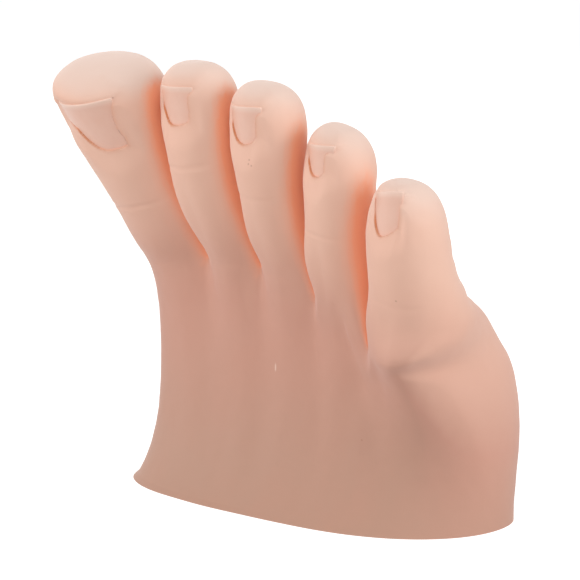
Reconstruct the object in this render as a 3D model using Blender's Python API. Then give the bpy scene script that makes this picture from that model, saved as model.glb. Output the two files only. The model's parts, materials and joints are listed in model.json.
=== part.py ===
"""Nail practice foot: the front half of a right foot in soft silicone, cut off flat across the instep.

It stands on the cut face with its toes up. X runs from the big toe to the little toe, +Y towards the sole,
-Y towards the nails, and +Z towards the toe tips. The origin is on the cut face. Lengths are in metres.
Inside is a moulded plastic keel with two riveted knuckles in each toe, so that the toes stay where they are
bent. Each toe carries a push-in practice nail in a slot.
"""

import math
from typing import NamedTuple

import bmesh
import bpy
from mathutils import Matrix, Vector
from mathutils.bvhtree import BVHTree


# Each toe: its width and depth at the web and at its pulp, its length, where its root is, how many degrees it
# leans back from the sole at its root and at its tip, how many degrees its tip slopes down towards the little toe,
# how low the web beside it dips, and its nail
BIG_TOE_ROOT_WIDTH = 0.0225
BIG_TOE_ROOT_DEPTH = 0.0205
BIG_TOE_WIDTH = 0.0273
BIG_TOE_DEPTH = 0.0245
BIG_TOE_LENGTH = 0.0477
BIG_TOE_ROOT_HEIGHT = 0.0590
BIG_TOE_ROOT_BACK = 0.0010
BIG_TOE_ROOT_LEAN = 34.0
BIG_TOE_TIP_LEAN = 28.0
BIG_TOE_TIP_SLOPE = 13.0
BIG_TOE_WEB_DROP = 0.0040
BIG_TOE_NAIL_WIDTH = 0.0175
BIG_TOE_NAIL_LENGTH = 0.0130
BIG_TOE_NAIL_SHARE = 0.780
BIG_TOE_NAIL_TURN = 3.0

SECOND_TOE_ROOT_WIDTH = 0.0155
SECOND_TOE_ROOT_DEPTH = 0.0180
SECOND_TOE_WIDTH = 0.0180
SECOND_TOE_DEPTH = 0.0185
SECOND_TOE_LENGTH = 0.0440
SECOND_TOE_ROOT_HEIGHT = 0.0610
SECOND_TOE_ROOT_BACK = -0.0012
SECOND_TOE_ROOT_LEAN = 38.0
SECOND_TOE_TIP_LEAN = 2.0
SECOND_TOE_TIP_SLOPE = 3.0
SECOND_TOE_WEB_DROP = 0.0045
SECOND_TOE_NAIL_WIDTH = 0.0100
SECOND_TOE_NAIL_LENGTH = 0.0088
SECOND_TOE_NAIL_SHARE = 0.805
SECOND_TOE_NAIL_TURN = 6.0

THIRD_TOE_ROOT_WIDTH = 0.0150
THIRD_TOE_ROOT_DEPTH = 0.0180
THIRD_TOE_WIDTH = 0.0168
THIRD_TOE_DEPTH = 0.0180
THIRD_TOE_LENGTH = 0.0410
THIRD_TOE_ROOT_HEIGHT = 0.0600
THIRD_TOE_ROOT_BACK = -0.0005
THIRD_TOE_ROOT_LEAN = 36.0
THIRD_TOE_TIP_LEAN = 3.0
THIRD_TOE_TIP_SLOPE = 5.0
THIRD_TOE_WEB_DROP = 0.0070
THIRD_TOE_NAIL_WIDTH = 0.0092
THIRD_TOE_NAIL_LENGTH = 0.0083
THIRD_TOE_NAIL_SHARE = 0.805
THIRD_TOE_NAIL_TURN = 6.0

FOURTH_TOE_ROOT_WIDTH = 0.0138
FOURTH_TOE_ROOT_DEPTH = 0.0175
FOURTH_TOE_WIDTH = 0.0155
FOURTH_TOE_DEPTH = 0.0172
FOURTH_TOE_LENGTH = 0.0358
FOURTH_TOE_ROOT_HEIGHT = 0.0555
FOURTH_TOE_ROOT_BACK = -0.0005
FOURTH_TOE_ROOT_LEAN = 26.0
FOURTH_TOE_TIP_LEAN = 3.0
FOURTH_TOE_TIP_SLOPE = 12.0
FOURTH_TOE_WEB_DROP = 0.0090
FOURTH_TOE_NAIL_WIDTH = 0.0080
FOURTH_TOE_NAIL_LENGTH = 0.0072
FOURTH_TOE_NAIL_SHARE = 0.815
FOURTH_TOE_NAIL_TURN = 9.0

LITTLE_TOE_ROOT_WIDTH = 0.0220
LITTLE_TOE_ROOT_DEPTH = 0.0236
LITTLE_TOE_WIDTH = 0.0170
LITTLE_TOE_DEPTH = 0.0184
LITTLE_TOE_LENGTH = 0.0347
LITTLE_TOE_ROOT_HEIGHT = 0.0470
LITTLE_TOE_ROOT_BACK = 0.0008
LITTLE_TOE_ROOT_LEAN = 29.0
LITTLE_TOE_TIP_LEAN = 9.0
LITTLE_TOE_TIP_SLOPE = 8.0
LITTLE_TOE_NAIL_WIDTH = 0.0080
LITTLE_TOE_NAIL_LENGTH = 0.0095
LITTLE_TOE_NAIL_SHARE = 0.820
LITTLE_TOE_NAIL_TURN = 12.0


class Toe(NamedTuple):
    """One toe: its sizes, how it leans back from the sole, and where its nail lies and how far it is turned."""

    name: str
    root_width: float
    root_depth: float
    width: float
    depth: float
    length: float
    root_height: float
    root_back: float
    lean_at_root: float
    lean_at_tip: float
    tip_slope: float
    web_drop: float
    nail_width: float
    nail_length: float
    nail_place: float
    nail_turn: float


TOES = (
    Toe(
        "big_toe",
        BIG_TOE_ROOT_WIDTH,
        BIG_TOE_ROOT_DEPTH,
        BIG_TOE_WIDTH,
        BIG_TOE_DEPTH,
        BIG_TOE_LENGTH,
        BIG_TOE_ROOT_HEIGHT,
        BIG_TOE_ROOT_BACK,
        BIG_TOE_ROOT_LEAN,
        BIG_TOE_TIP_LEAN,
        BIG_TOE_TIP_SLOPE,
        BIG_TOE_WEB_DROP,
        BIG_TOE_NAIL_WIDTH,
        BIG_TOE_NAIL_LENGTH,
        BIG_TOE_NAIL_SHARE,
        BIG_TOE_NAIL_TURN,
    ),
    Toe(
        "second_toe",
        SECOND_TOE_ROOT_WIDTH,
        SECOND_TOE_ROOT_DEPTH,
        SECOND_TOE_WIDTH,
        SECOND_TOE_DEPTH,
        SECOND_TOE_LENGTH,
        SECOND_TOE_ROOT_HEIGHT,
        SECOND_TOE_ROOT_BACK,
        SECOND_TOE_ROOT_LEAN,
        SECOND_TOE_TIP_LEAN,
        SECOND_TOE_TIP_SLOPE,
        SECOND_TOE_WEB_DROP,
        SECOND_TOE_NAIL_WIDTH,
        SECOND_TOE_NAIL_LENGTH,
        SECOND_TOE_NAIL_SHARE,
        SECOND_TOE_NAIL_TURN,
    ),
    Toe(
        "third_toe",
        THIRD_TOE_ROOT_WIDTH,
        THIRD_TOE_ROOT_DEPTH,
        THIRD_TOE_WIDTH,
        THIRD_TOE_DEPTH,
        THIRD_TOE_LENGTH,
        THIRD_TOE_ROOT_HEIGHT,
        THIRD_TOE_ROOT_BACK,
        THIRD_TOE_ROOT_LEAN,
        THIRD_TOE_TIP_LEAN,
        THIRD_TOE_TIP_SLOPE,
        THIRD_TOE_WEB_DROP,
        THIRD_TOE_NAIL_WIDTH,
        THIRD_TOE_NAIL_LENGTH,
        THIRD_TOE_NAIL_SHARE,
        THIRD_TOE_NAIL_TURN,
    ),
    Toe(
        "fourth_toe",
        FOURTH_TOE_ROOT_WIDTH,
        FOURTH_TOE_ROOT_DEPTH,
        FOURTH_TOE_WIDTH,
        FOURTH_TOE_DEPTH,
        FOURTH_TOE_LENGTH,
        FOURTH_TOE_ROOT_HEIGHT,
        FOURTH_TOE_ROOT_BACK,
        FOURTH_TOE_ROOT_LEAN,
        FOURTH_TOE_TIP_LEAN,
        FOURTH_TOE_TIP_SLOPE,
        FOURTH_TOE_WEB_DROP,
        FOURTH_TOE_NAIL_WIDTH,
        FOURTH_TOE_NAIL_LENGTH,
        FOURTH_TOE_NAIL_SHARE,
        FOURTH_TOE_NAIL_TURN,
    ),
    Toe(
        "little_toe",
        LITTLE_TOE_ROOT_WIDTH,
        LITTLE_TOE_ROOT_DEPTH,
        LITTLE_TOE_WIDTH,
        LITTLE_TOE_DEPTH,
        LITTLE_TOE_LENGTH,
        LITTLE_TOE_ROOT_HEIGHT,
        LITTLE_TOE_ROOT_BACK,
        LITTLE_TOE_ROOT_LEAN,
        LITTLE_TOE_TIP_LEAN,
        LITTLE_TOE_TIP_SLOPE,
        0.0,
        LITTLE_TOE_NAIL_WIDTH,
        LITTLE_TOE_NAIL_LENGTH,
        LITTLE_TOE_NAIL_SHARE,
        LITTLE_TOE_NAIL_TURN,
    ),
)
# Sideways place of the big toe's outer edge, at its root and at its pulp
BIG_TOE_ROOT_EDGE = -0.0440
BIG_TOE_TIP_EDGE = -0.0518
WEB_WIDTH = 0.0008
TOE_GAP = 0.0012
WEB_SINK = 0.0022

# The forefoot below the toes: how far it reaches to its two sides, how far back those sides lie, and how far the
# instep, the sole and the ball swell out from the line between them
INNER_REACH = 0.0455
OUTER_REACH = 0.0490
INNER_BACK = 0.0070
OUTER_BACK = 0.0160
INSTEP_SWELL = 0.0255
SOLE_SWELL = 0.0180
BALL_SWELL = 0.0035


class Outline(NamedTuple):
    """One level of the forefoot, as shares: of the height of the toes' roots, then of the seven sizes above.

    The last share is how much of the toes' own lumps shows at that level.
    """

    height: float
    inner_reach: float
    outer_reach: float
    inner_back: float
    outer_back: float
    instep: float
    sole: float
    ball: float
    toes: float


OUTLINE_SHARES = (
    Outline(0.00, 1.000, 1.000, 1.00, 1.00, 1.000, 0.833, 0.00, 0.00),
    Outline(0.07, 0.965, 0.996, 1.00, 1.00, 0.880, 0.861, 0.00, 0.00),
    Outline(0.24, 0.925, 0.992, 1.00, 1.03, 0.705, 0.917, 0.29, 0.00),
    Outline(0.48, 0.925, 0.985, 1.00, 1.03, 0.605, 1.000, 0.86, 0.03),
    Outline(0.72, 0.925, 0.955, 0.95, 0.91, 0.560, 1.000, 1.00, 0.12),
    Outline(0.90, 0.930, 0.885, 0.90, 0.80, 0.555, 0.861, 0.63, 0.35),
)
INNER_SIDE_POWER = 3.4
OUTER_SIDE_POWER = 2.1
SOLE_POWER = 3.0
SOLE_RIB_SHARE = 0.30
# How far a subdivided cage shrinks from its own corners
CAGE_SWELL_SHARE = 1.05
SUBDIVISIONS = 1

# The rings of a toe: share of its length, then shares of its pulp width, of half its depth towards the nail, and
# of half its depth towards the pad
RING_SHARES = (
    (0.12, 0.90, 0.96, 0.98),
    (0.30, 0.84, 0.94, 0.88),
    (0.48, 0.90, 0.98, 0.86),
    (0.64, 0.98, 0.93, 0.97),
    (0.79, 1.00, 0.90, 1.10),
    (0.91, 0.90, 0.76, 1.00),
    (0.985, 0.58, 0.46, 0.66),
)
TIP_BULGE_SHARE = 1.015
TIP_SLOPE_POWER = 4.0
BIG_TOE_RING_SHARES = (
    (0.12, 0.86, 0.90, 0.95),
    (0.30, 0.80, 0.83, 0.88),
    (0.47, 0.84, 0.85, 0.90),
    (0.62, 0.93, 0.82, 1.00),
    (0.77, 1.00, 0.83, 1.12),
    (0.89, 0.975, 0.78, 1.12),
    (0.965, 0.82, 0.62, 0.90),
)
FOURTH_TOE_RING_SHARES = (
    (0.12, 0.90, 0.96, 0.98),
    (0.30, 0.86, 0.94, 0.88),
    (0.48, 0.92, 0.98, 0.86),
    (0.64, 0.99, 0.93, 0.97),
    (0.79, 0.99, 0.90, 1.04),
    (0.91, 0.82, 0.76, 0.88),
    (0.985, 0.50, 0.46, 0.54),
)
LITTLE_TOE_RING_SHARES = (
    (0.12, 1.21, 1.05, 1.20),
    (0.30, 1.11, 1.02, 1.00),
    (0.48, 1.05, 1.00, 0.96),
    (0.64, 1.02, 0.94, 1.00),
    (0.79, 0.94, 0.88, 1.02),
    (0.91, 0.77, 0.72, 0.88),
    (0.985, 0.46, 0.42, 0.54),
)

# Play between pieces that touch or turn on each other
PLAY = 0.0003
# Largest overrun of a cutter past what it cuts
OVERRUN = 0.0040

# Knuckles: the first one's height above the web, and the second one's place along the rest of the toe
ROOT_KNUCKLE_RISE = 0.0072
TIP_KNUCKLE_SHARE = 0.44
# Size of the silicone ball against the toe that it closes, and how wide its funnel opens past the tip
BALL_SHARE = 1.13
FUNNEL_SHARE = 2.6
BALL_SEGMENTS = 20
BALL_RINGS = 4
# Degrees that each knuckle curls back towards the instep and down towards the sole
ROOT_SWING = (-15.0, 25.0)
TIP_SWING = (-10.0, 30.0)
# Degrees of room beyond each end of a knuckle's swing
SWING_SPARE = 2.0

# Keel: rivets, eyes, and the fork and tongue that they join
RIVET_RADIUS = 0.0010
HEAD_RADIUS = 0.0018
HEAD_HEIGHT = 0.0006
EYE_RADIUS = 0.0028
TONGUE = 0.0018
CHEEK = 0.0014
ARM_DEPTH = 0.0040
UPPER_LINK_SHARE = 0.56
BARB = 0.0005
EYE_BOSS = 0.0002
# Keel plate: a flat web across the forefoot with holes that the silicone keys into
PLATE_THICKNESS = 0.0030
PLATE_BACK = 0.0095
PLATE_FOOT = 0.0120
PLATE_HEAD = 0.0330
PLATE_EDGE = 0.0070
KEY_HOLE_RADIUS = 0.0028
# How far a keel finger stays in line with its knuckle, against the depth of the toe's root
FINGER_NECK_SHARE = 0.65

# Nails: plates bent across, which push into a slot under the fold of skin
NAIL_THICKNESS = 0.0008
NAIL_PROUD = 0.0004
NAIL_TAIL = 0.0028
NAIL_ROOT_SINK = 0.0014
NAIL_BEND_SHARE = 0.72
NAIL_CORNER_SHARE = 0.35
NAIL_COLUMNS = 8
NAIL_ROWS = 4
NAIL_TAIL_ROUND_SHARE = 0.92
NAIL_FREE_EDGE_SHARE = 0.34
NAIL_FOLD_SHARE = 0.80



class Look(NamedTuple):
    """What a piece is made of: its colour, roughness and metallic value."""

    stuff: str
    colour: tuple
    roughness: float
    metallic: float


SILICONE = Look("peach_silicone", (0.70, 0.43, 0.32), 0.55, 0.0)
NAIL_PLASTIC = Look("pink_nail_plastic", (0.78, 0.50, 0.42), 0.35, 0.0)
NYLON = Look("white_nylon", (0.80, 0.78, 0.72), 0.45, 0.0)
STEEL = Look("rivet_steel", (0.62, 0.62, 0.60), 0.35, 1.0)
SMOOTH_ANGLE = 40.0

SPINE_STEPS = 24
EYE_SIDES = 12
EYE_STEPS = 7
RIVET_SIDES = 12
RING_SIDES = 12
TOE_SPANS = 4


def toe_edges(first_edge, widths, gap):
    """Centres of pieces laid side by side from first_edge, with a gap between them."""
    centres = []
    edge = first_edge
    for width in widths:
        centres.append(edge + width / 2)
        edge += width + gap
    return centres


ROOT_CENTRES = toe_edges(BIG_TOE_ROOT_EDGE, [toe.root_width for toe in TOES], WEB_WIDTH)
TIP_CENTRES = toe_edges(BIG_TOE_TIP_EDGE, [toe.width for toe in TOES], TOE_GAP)


def lean_at(toe, share):
    return math.radians(toe.lean_at_root + (toe.lean_at_tip - toe.lean_at_root) * share)


def splay_of(index):
    """How far a toe spreads sideways, in radians, so that its pulp clears its neighbours' pulps."""
    toe = TOES[index]
    rise = toe.length * math.cos(lean_at(toe, 0.5))
    return math.atan2(TIP_CENTRES[index] - ROOT_CENTRES[index], rise)


def side_axis(index):
    """The direction across a toe, which its knuckle rivets follow."""
    splay = splay_of(index)
    return Vector((math.cos(splay), 0.0, -math.sin(splay)))


def spine_frame(index, share):
    """Place and directions at a share of a toe's length: X across it, Y to its pad, Z along its spine."""
    toe = TOES[index]
    across = side_axis(index)
    upright = Vector((-across.z, 0.0, across.x))
    point = Vector((ROOT_CENTRES[index], toe.root_back, toe.root_height))
    steps = max(1, round(SPINE_STEPS * share))
    for step in range(steps):
        lean = lean_at(toe, share * (step + 0.5) / steps)
        along = upright * math.cos(lean) - Vector((0.0, math.sin(lean), 0.0))
        point = point + along * (toe.length * share / steps)
    lean = lean_at(toe, share)
    along = upright * math.cos(lean) - Vector((0.0, math.sin(lean), 0.0))
    pad = along.cross(across)
    frame = Matrix((across, pad, along)).transposed().to_4x4()
    frame.translation = point
    return frame


def ring_points(frame, half_width, nail_depth, pad_depth, slope):
    """Twelve corners round a toe, from its left shoulder over the nail side and back under the pad."""
    points = []
    for corner in range(RING_SIDES):
        angle = math.radians(210.0 + 360.0 * corner / RING_SIDES)
        depth = nail_depth if math.sin(angle) < 0 else pad_depth
        local = Vector((half_width * math.cos(angle), depth * math.sin(angle), 0.0))
        local.z = -local.x * slope
        points.append(frame @ (local * CAGE_SWELL_SHARE))
    return points


def ring_shares(index):
    """The rings of one toe: the big, the fourth and the little toe have their own."""
    return {0: BIG_TOE_RING_SHARES, 3: FOURTH_TOE_RING_SHARES, 4: LITTLE_TOE_RING_SHARES}.get(index, RING_SHARES)


def toe_rings(index):
    """The cage rings of a toe, from its root ring at the webs to the ring round its tip."""
    toe = TOES[index]
    shares = ring_shares(index)
    half_root = toe.root_depth / 2
    rings = [ring_points(spine_frame(index, 0.0), toe.root_width / 2, half_root, half_root, 0.0)]
    for along, width_share, nail_share, pad_share in shares:
        half_depth = toe.depth / 2
        frame = spine_frame(index, along)
        half_width = toe.width / 2 * width_share
        slope = math.tan(math.radians(toe.tip_slope)) * along**TIP_SLOPE_POWER
        rings.append(ring_points(frame, half_width, half_depth * nail_share, half_depth * pad_share, slope))
    return rings


def web_point(left, right, drop, sink):
    """The corner that two neighbouring toes share in their web, which hangs from the lower of the two."""
    middle = (left + right) / 2
    return Vector((middle.x, middle.y + sink, min(left.z, right.z) - drop))


def top_loop():
    """The forefoot's top loop: 21 corners over the nail side, one at the outer side, 21 back under the sole."""
    roots = [toe_rings(index)[0] for index in range(len(TOES))]
    nail_side, sole_side, middles = [], [], []
    for index, ring in enumerate(roots):
        if index == 0:
            nail_side.append(ring[0])
            sole_side.append(ring[10])
        nail_side += ring[1:4]
        sole_side += ring[9:6:-1]
        if index + 1 < len(roots):
            after = roots[index + 1]
            nail_side.append(web_point(ring[4], after[0], TOES[index].web_drop, WEB_SINK))
            sole_side.append(web_point(ring[6], after[10], 0.0, -WEB_SINK))
            middles.append(web_point(ring[5], after[11], TOES[index].web_drop / 2, 0.0))
        else:
            nail_side.append(ring[4])
            sole_side.append(ring[6])
    return nail_side, sole_side, middles, roots[0][11], roots[-1][5]


def bow(place, power):
    """Height of a rounded outline, from 0 at its ends to 1 in the middle, at a place from 0 to 1 across it."""
    reach = min(1.0, abs(2.0 * place - 1.0))
    return (1.0 - reach**power) ** (1.0 / power)


def outline_point(outline, place, side):
    """A corner of a forefoot level at a place from 0 to 1 across it; side is -1 on the nails' side, 1 on the sole."""
    inner = -INNER_REACH * outline.inner_reach
    outer = OUTER_REACH * outline.outer_reach
    across = inner + (outer - inner) * place
    inner_back = INNER_BACK * outline.inner_back
    back = inner_back + (OUTER_BACK * outline.outer_back - inner_back) * place
    if side < 0:
        power = INNER_SIDE_POWER + (OUTER_SIDE_POWER - INNER_SIDE_POWER) * place
        return across, back - INSTEP_SWELL * outline.instep * bow(place, power)
    swell = SOLE_SWELL * outline.sole + BALL_SWELL * outline.ball * math.cos(math.pi * place) ** 2
    return across, back + swell * bow(place, SOLE_POWER)


def forefoot_loops():
    """Cage loops of the forefoot from the cut face up to the webs, each with 44 corners."""
    nail_side, sole_side, middles, inner, outer = top_loop()
    top = nail_side + [outer] + sole_side[::-1] + [inner]
    left = inner.x
    width = outer.x - inner.x
    sides = [-1] * len(nail_side) + [-1] + [1] * len(sole_side) + [1]
    loops = []
    for outline in OUTLINE_SHARES:
        loop = []
        for point, side in zip(top, sides):
            place = min(1.0, max(0.0, (point.x - left) / width))
            across, back = outline_point(outline, place, side)
            own = Vector((across, back, 0.0))
            share = outline.toes * (1.0 if side < 0 else SOLE_RIB_SHARE)
            flat = own.lerp(Vector((point.x, point.y, 0.0)), share)
            flat.z = point.z * outline.height
            loop.append(flat)
        loops.append(loop)
    loops.append(top)
    return loops, middles


def skin_cage():
    """The whole foot as a cage of four-sided faces: forefoot loops, and toes drawn out of its top."""
    cage = bmesh.new()
    loops, middles = forefoot_loops()
    rows = [[cage.verts.new(point) for point in loop] for loop in loops]
    count = len(rows[0])
    for lower, upper in zip(rows, rows[1:]):
        for corner in range(count):
            after = (corner + 1) % count
            cage.faces.new((lower[corner], lower[after], upper[after], upper[corner]))
    close_cut_face(cage, rows[0])
    top = rows[-1]
    half = count // 2
    nail_row = top[: half - 1]
    sole_row = top[half : count - 1][::-1]
    middle_row = [top[-1]] + [cage.verts.new(point) for point in middles] + [top[half - 1]]
    for index in range(len(TOES)):
        first = index * TOE_SPANS
        last = first + TOE_SPANS
        nail_corners = nail_row[first : last + 1]
        sole_corners = sole_row[first : last + 1]
        root = nail_corners + [middle_row[index + 1]] + sole_corners[::-1] + [middle_row[index]]
        grow_toe(cage, index, root)
    crease_cut_edge(cage, rows[0])
    bmesh.ops.recalc_face_normals(cage, faces=cage.faces)
    return cage


def close_cut_face(cage, loop):
    """Four-sided faces across the flat cut face."""
    half = len(loop) // 2
    nail_row = loop[: half - 1]
    sole_row = loop[half : len(loop) - 1][::-1]
    middle_row = [loop[-1]]
    for nail, sole in zip(nail_row[1:-1], sole_row[1:-1]):
        middle_row.append(cage.verts.new((nail.co + sole.co) / 2))
    middle_row.append(loop[half - 1])
    for first, second in ((nail_row, middle_row), (middle_row, sole_row)):
        for place in range(len(first) - 1):
            cage.faces.new((first[place], first[place + 1], second[place + 1], second[place]))


def crease_cut_edge(cage, loop):
    """Keeps the rim of the cut face sharp when the cage is subdivided."""
    crease = cage.edges.layers.float.new("crease_edge")
    rim = set(loop)
    for edge in cage.edges:
        if edge.verts[0] in rim and edge.verts[1] in rim:
            edge[crease] = 1.0


def grow_toe(cage, index, root):
    """Draws one toe out of its root ring and closes its tip."""
    lower = root
    for points in toe_rings(index)[1:]:
        upper = [cage.verts.new(point) for point in points]
        for corner in range(RING_SIDES):
            after = (corner + 1) % RING_SIDES
            face = cage.faces.new((lower[corner], lower[after], upper[after], upper[corner]))
            face.material_index = index + 1
        lower = upper
    tip = spine_frame(index, TIP_BULGE_SHARE).translation
    base = spine_frame(index, ring_shares(index)[-1][0]).translation
    lift = tip - base
    middle = [lower[11]]
    for nail, pad in ((1, 9), (2, 8), (3, 7)):
        middle.append(cage.verts.new((lower[nail].co + lower[pad].co) / 2 + lift))
    middle.append(lower[5])
    nail_row = lower[0:5]
    pad_row = [lower[10], lower[9], lower[8], lower[7], lower[6]]
    for first, second in ((nail_row, middle), (middle, pad_row)):
        for place in range(TOE_SPANS):
            face = cage.faces.new((first[place], first[place + 1], second[place + 1], second[place]))
            face.material_index = index + 1


def finish_mesh(shape, name):
    mesh = bpy.data.meshes.new(name)
    shape.to_mesh(mesh)
    shape.free()
    return mesh


def add_object(name, mesh):
    item = bpy.data.objects.new(name, mesh)
    bpy.context.scene.collection.objects.link(item)
    return item


def evaluated(item, name):
    """The mesh that an object's modifiers make, as a mesh of its own; the object goes."""
    bpy.context.view_layer.update()
    graph = bpy.context.evaluated_depsgraph_get()
    mesh = bpy.data.meshes.new_from_object(item.evaluated_get(graph))
    mesh.name = name
    bpy.data.objects.remove(item)
    return mesh


def combine(mesh, steps, name):
    """A solid after cuts, unions and overlaps with other solids, taken one after another."""
    item = add_object(name, mesh)
    helpers = []
    for operation, other in steps:
        helper = add_object(name + "_tool", other)
        helper.hide_render = True
        helper.display_type = "WIRE"
        helpers.append(helper)
        step = item.modifiers.new(operation.lower(), "BOOLEAN")
        step.operation = operation
        step.solver = "EXACT"
        step.object = helper
    result = evaluated(item, name)
    for helper in helpers:
        bpy.data.objects.remove(helper)
    return result


def form_mesh():
    """The whole outer form of the foot, subdivided smooth and made of triangles."""
    form = add_object("foot_form", finish_mesh(skin_cage(), "foot_form"))
    rounding = form.modifiers.new("rounding", "SUBSURF")
    rounding.levels = SUBDIVISIONS
    rounding.render_levels = SUBDIVISIONS
    facets = form.modifiers.new("facets", "TRIANGULATE")
    facets.quad_method = "SHORTEST_DIAGONAL"
    return evaluated(form, "foot_form")


def toe_mesh(form, index, swell):
    """One toe of the form as a closed solid that runs on down into the forefoot, swollen all round if asked."""
    shape = bmesh.new()
    shape.from_mesh(form)
    others = [face for face in shape.faces if face.material_index != index + 1]
    bmesh.ops.delete(shape, geom=others, context="FACES")
    rim = [edge for edge in shape.edges if edge.is_boundary]
    grown = bmesh.ops.extrude_edge_only(shape, edges=rim)
    sunk = [part for part in grown["geom"] if isinstance(part, bmesh.types.BMVert)]
    down = spine_frame(index, 0.0).col[2].xyz * (-TOES[index].root_depth)
    bmesh.ops.translate(shape, verts=sunk, vec=down)
    cap = [edge for edge in shape.edges if edge.is_boundary]
    bmesh.ops.edgenet_fill(shape, edges=cap)
    bmesh.ops.triangulate(shape, faces=shape.faces)
    bmesh.ops.recalc_face_normals(shape, faces=shape.faces)
    shape.normal_update()
    for corner in shape.verts:
        corner.co += corner.normal * swell
    for face in shape.faces:
        face.material_index = 0
    return finish_mesh(shape, TOES[index].name + "_form")


def form_without_numbers(form):
    shape = bmesh.new()
    shape.from_mesh(form)
    for face in shape.faces:
        face.material_index = 0
    return finish_mesh(shape, "forefoot")


def reach(tree, start, direction):
    """How far the skin is from a point inside it."""
    return tree.ray_cast(start, direction)[3]


def root_share(index):
    return ROOT_KNUCKLE_RISE / TOES[index].length


def tip_share(index):
    first = root_share(index)
    return first + (1.0 - first) * TIP_KNUCKLE_SHARE


def knuckle_ball(tree, frame, length, play):
    """A ball about a knuckle's rivet that opens into a funnel as long as the toe, round the rest of it."""
    across, pad = frame.col[0].xyz, frame.col[1].xyz
    start = frame.translation
    half_width = max(reach(tree, start, across), reach(tree, start, -across)) * BALL_SHARE + play
    radius = max(reach(tree, start, pad), reach(tree, start, -pad)) * BALL_SHARE + play
    shape = bmesh.new()
    rows = []
    for ring in range(BALL_RINGS):
        angle = math.pi / 2 * (ring + 0.5) / BALL_RINGS
        rows.append((math.cos(angle), -math.sin(angle) * radius))
    rows.insert(0, (1.0, 0.0))
    rows.insert(0, (FUNNEL_SHARE, length))
    loops = []
    for size, height in rows:
        loop = []
        for corner in range(BALL_SEGMENTS):
            turn = 2 * math.pi * corner / BALL_SEGMENTS
            place = Vector((half_width * size * math.cos(turn), radius * size * math.sin(turn), height))
            loop.append(shape.verts.new(frame @ place))
        loops.append(loop)
    bridge_loops(shape, loops)
    shape.faces.new(loops[0])
    shape.faces.new(loops[-1][::-1])
    bmesh.ops.recalc_face_normals(shape, faces=shape.faces)
    return finish_mesh(shape, "knuckle_ball")


def bridge_loops(shape, loops):
    for upper, lower in zip(loops, loops[1:]):
        count = len(upper)
        for corner in range(count):
            after = (corner + 1) % count
            shape.faces.new((upper[corner], upper[after], lower[after], lower[corner]))


def prism(frame, outline, half_width):
    """An outline of (pad, along) points, drawn out both ways across the toe."""
    shape = bmesh.new()
    loops = []
    for across in (-half_width, half_width):
        loops.append([shape.verts.new(frame @ Vector((across, pad, along))) for pad, along in outline])
    bridge_loops(shape, loops)
    shape.faces.new(loops[0])
    shape.faces.new(loops[1][::-1])
    bmesh.ops.recalc_face_normals(shape, faces=shape.faces)
    return finish_mesh(shape, "prism")


def arc(radius, start, end, steps, middle=(0.0, 0.0)):
    """Points round a middle from one angle to another, in degrees from the pad side towards the tip."""
    points = []
    for step in range(steps + 1):
        angle = math.radians(start + (end - start) * step / steps)
        points.append((middle[0] + radius * math.cos(angle), middle[1] + radius * math.sin(angle)))
    return points


def disc(radius, middle=(0.0, 0.0), steps=EYE_SIDES):
    return arc(radius, 0.0, 360.0, steps, middle)[:-1]


def fork_half():
    """Half the width of a fork: half its tongue, the play beside it, and one cheek."""
    return TONGUE / 2 + PLAY + CHEEK


def head_start():
    """Where a rivet's head starts, clear of the boss round its hole."""
    return fork_half() + EYE_BOSS + PLAY / 2


def slot_half():
    """Half the width of the room that a knuckle needs, with its rivet's heads."""
    return head_start() + HEAD_HEIGHT + PLAY


def swing_room(frame, below, length, swing):
    """The room that the piece below a knuckle sweeps through inside the piece above it."""
    outline = []
    clear = EYE_RADIUS + PLAY
    far = length / 2
    back, down = swing
    rest = frame.inverted().to_3x3() @ below
    middle = math.degrees(math.atan2(rest.z, rest.y))
    low, high = middle + back - SWING_SPARE, middle + down + SWING_SPARE
    for angle, side in ((low, -90.0), (high, 90.0)):
        turned, normal = math.radians(angle), math.radians(angle + side)
        start = (clear * math.cos(normal), clear * math.sin(normal))
        end = (start[0] + far * math.cos(turned), start[1] + far * math.sin(turned))
        outline += [start, end] if side < 0 else [end, start]
    outline += arc(clear, high + 90.0, low + 270.0, 6)[1:-1]
    return prism(frame, outline, slot_half())


def rivet_mesh(frame, name):
    """A solid rivet across a knuckle, with a flat round head at each end."""
    neck = head_start()
    end = neck + HEAD_HEIGHT
    profile = ((end, HEAD_RADIUS), (neck, HEAD_RADIUS), (neck, RIVET_RADIUS))
    loops = []
    shape = bmesh.new()
    for across, radius in profile + tuple((-place, size) for place, size in profile[::-1]):
        ring = disc(radius, steps=RIVET_SIDES)
        loops.append([shape.verts.new(frame @ Vector((across, pad, along))) for pad, along in ring])
    bridge_loops(shape, loops)
    shape.faces.new(loops[0])
    shape.faces.new(loops[-1][::-1])
    bmesh.ops.recalc_face_normals(shape, faces=shape.faces)
    return finish_mesh(shape, name)


def link_frames(index):
    """Where the two knuckles of a toe are, with the lower link's own direction from one to the other."""
    root = spine_frame(index, root_share(index))
    tip = spine_frame(index, tip_share(index))
    along = tip.translation - root.translation
    length = along.length
    along.normalize()
    across = side_axis(index)
    pad = along.cross(across)
    middle = Matrix((across, pad, along)).transposed().to_4x4()
    middle.translation = root.translation
    return root, tip, middle, length


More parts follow.
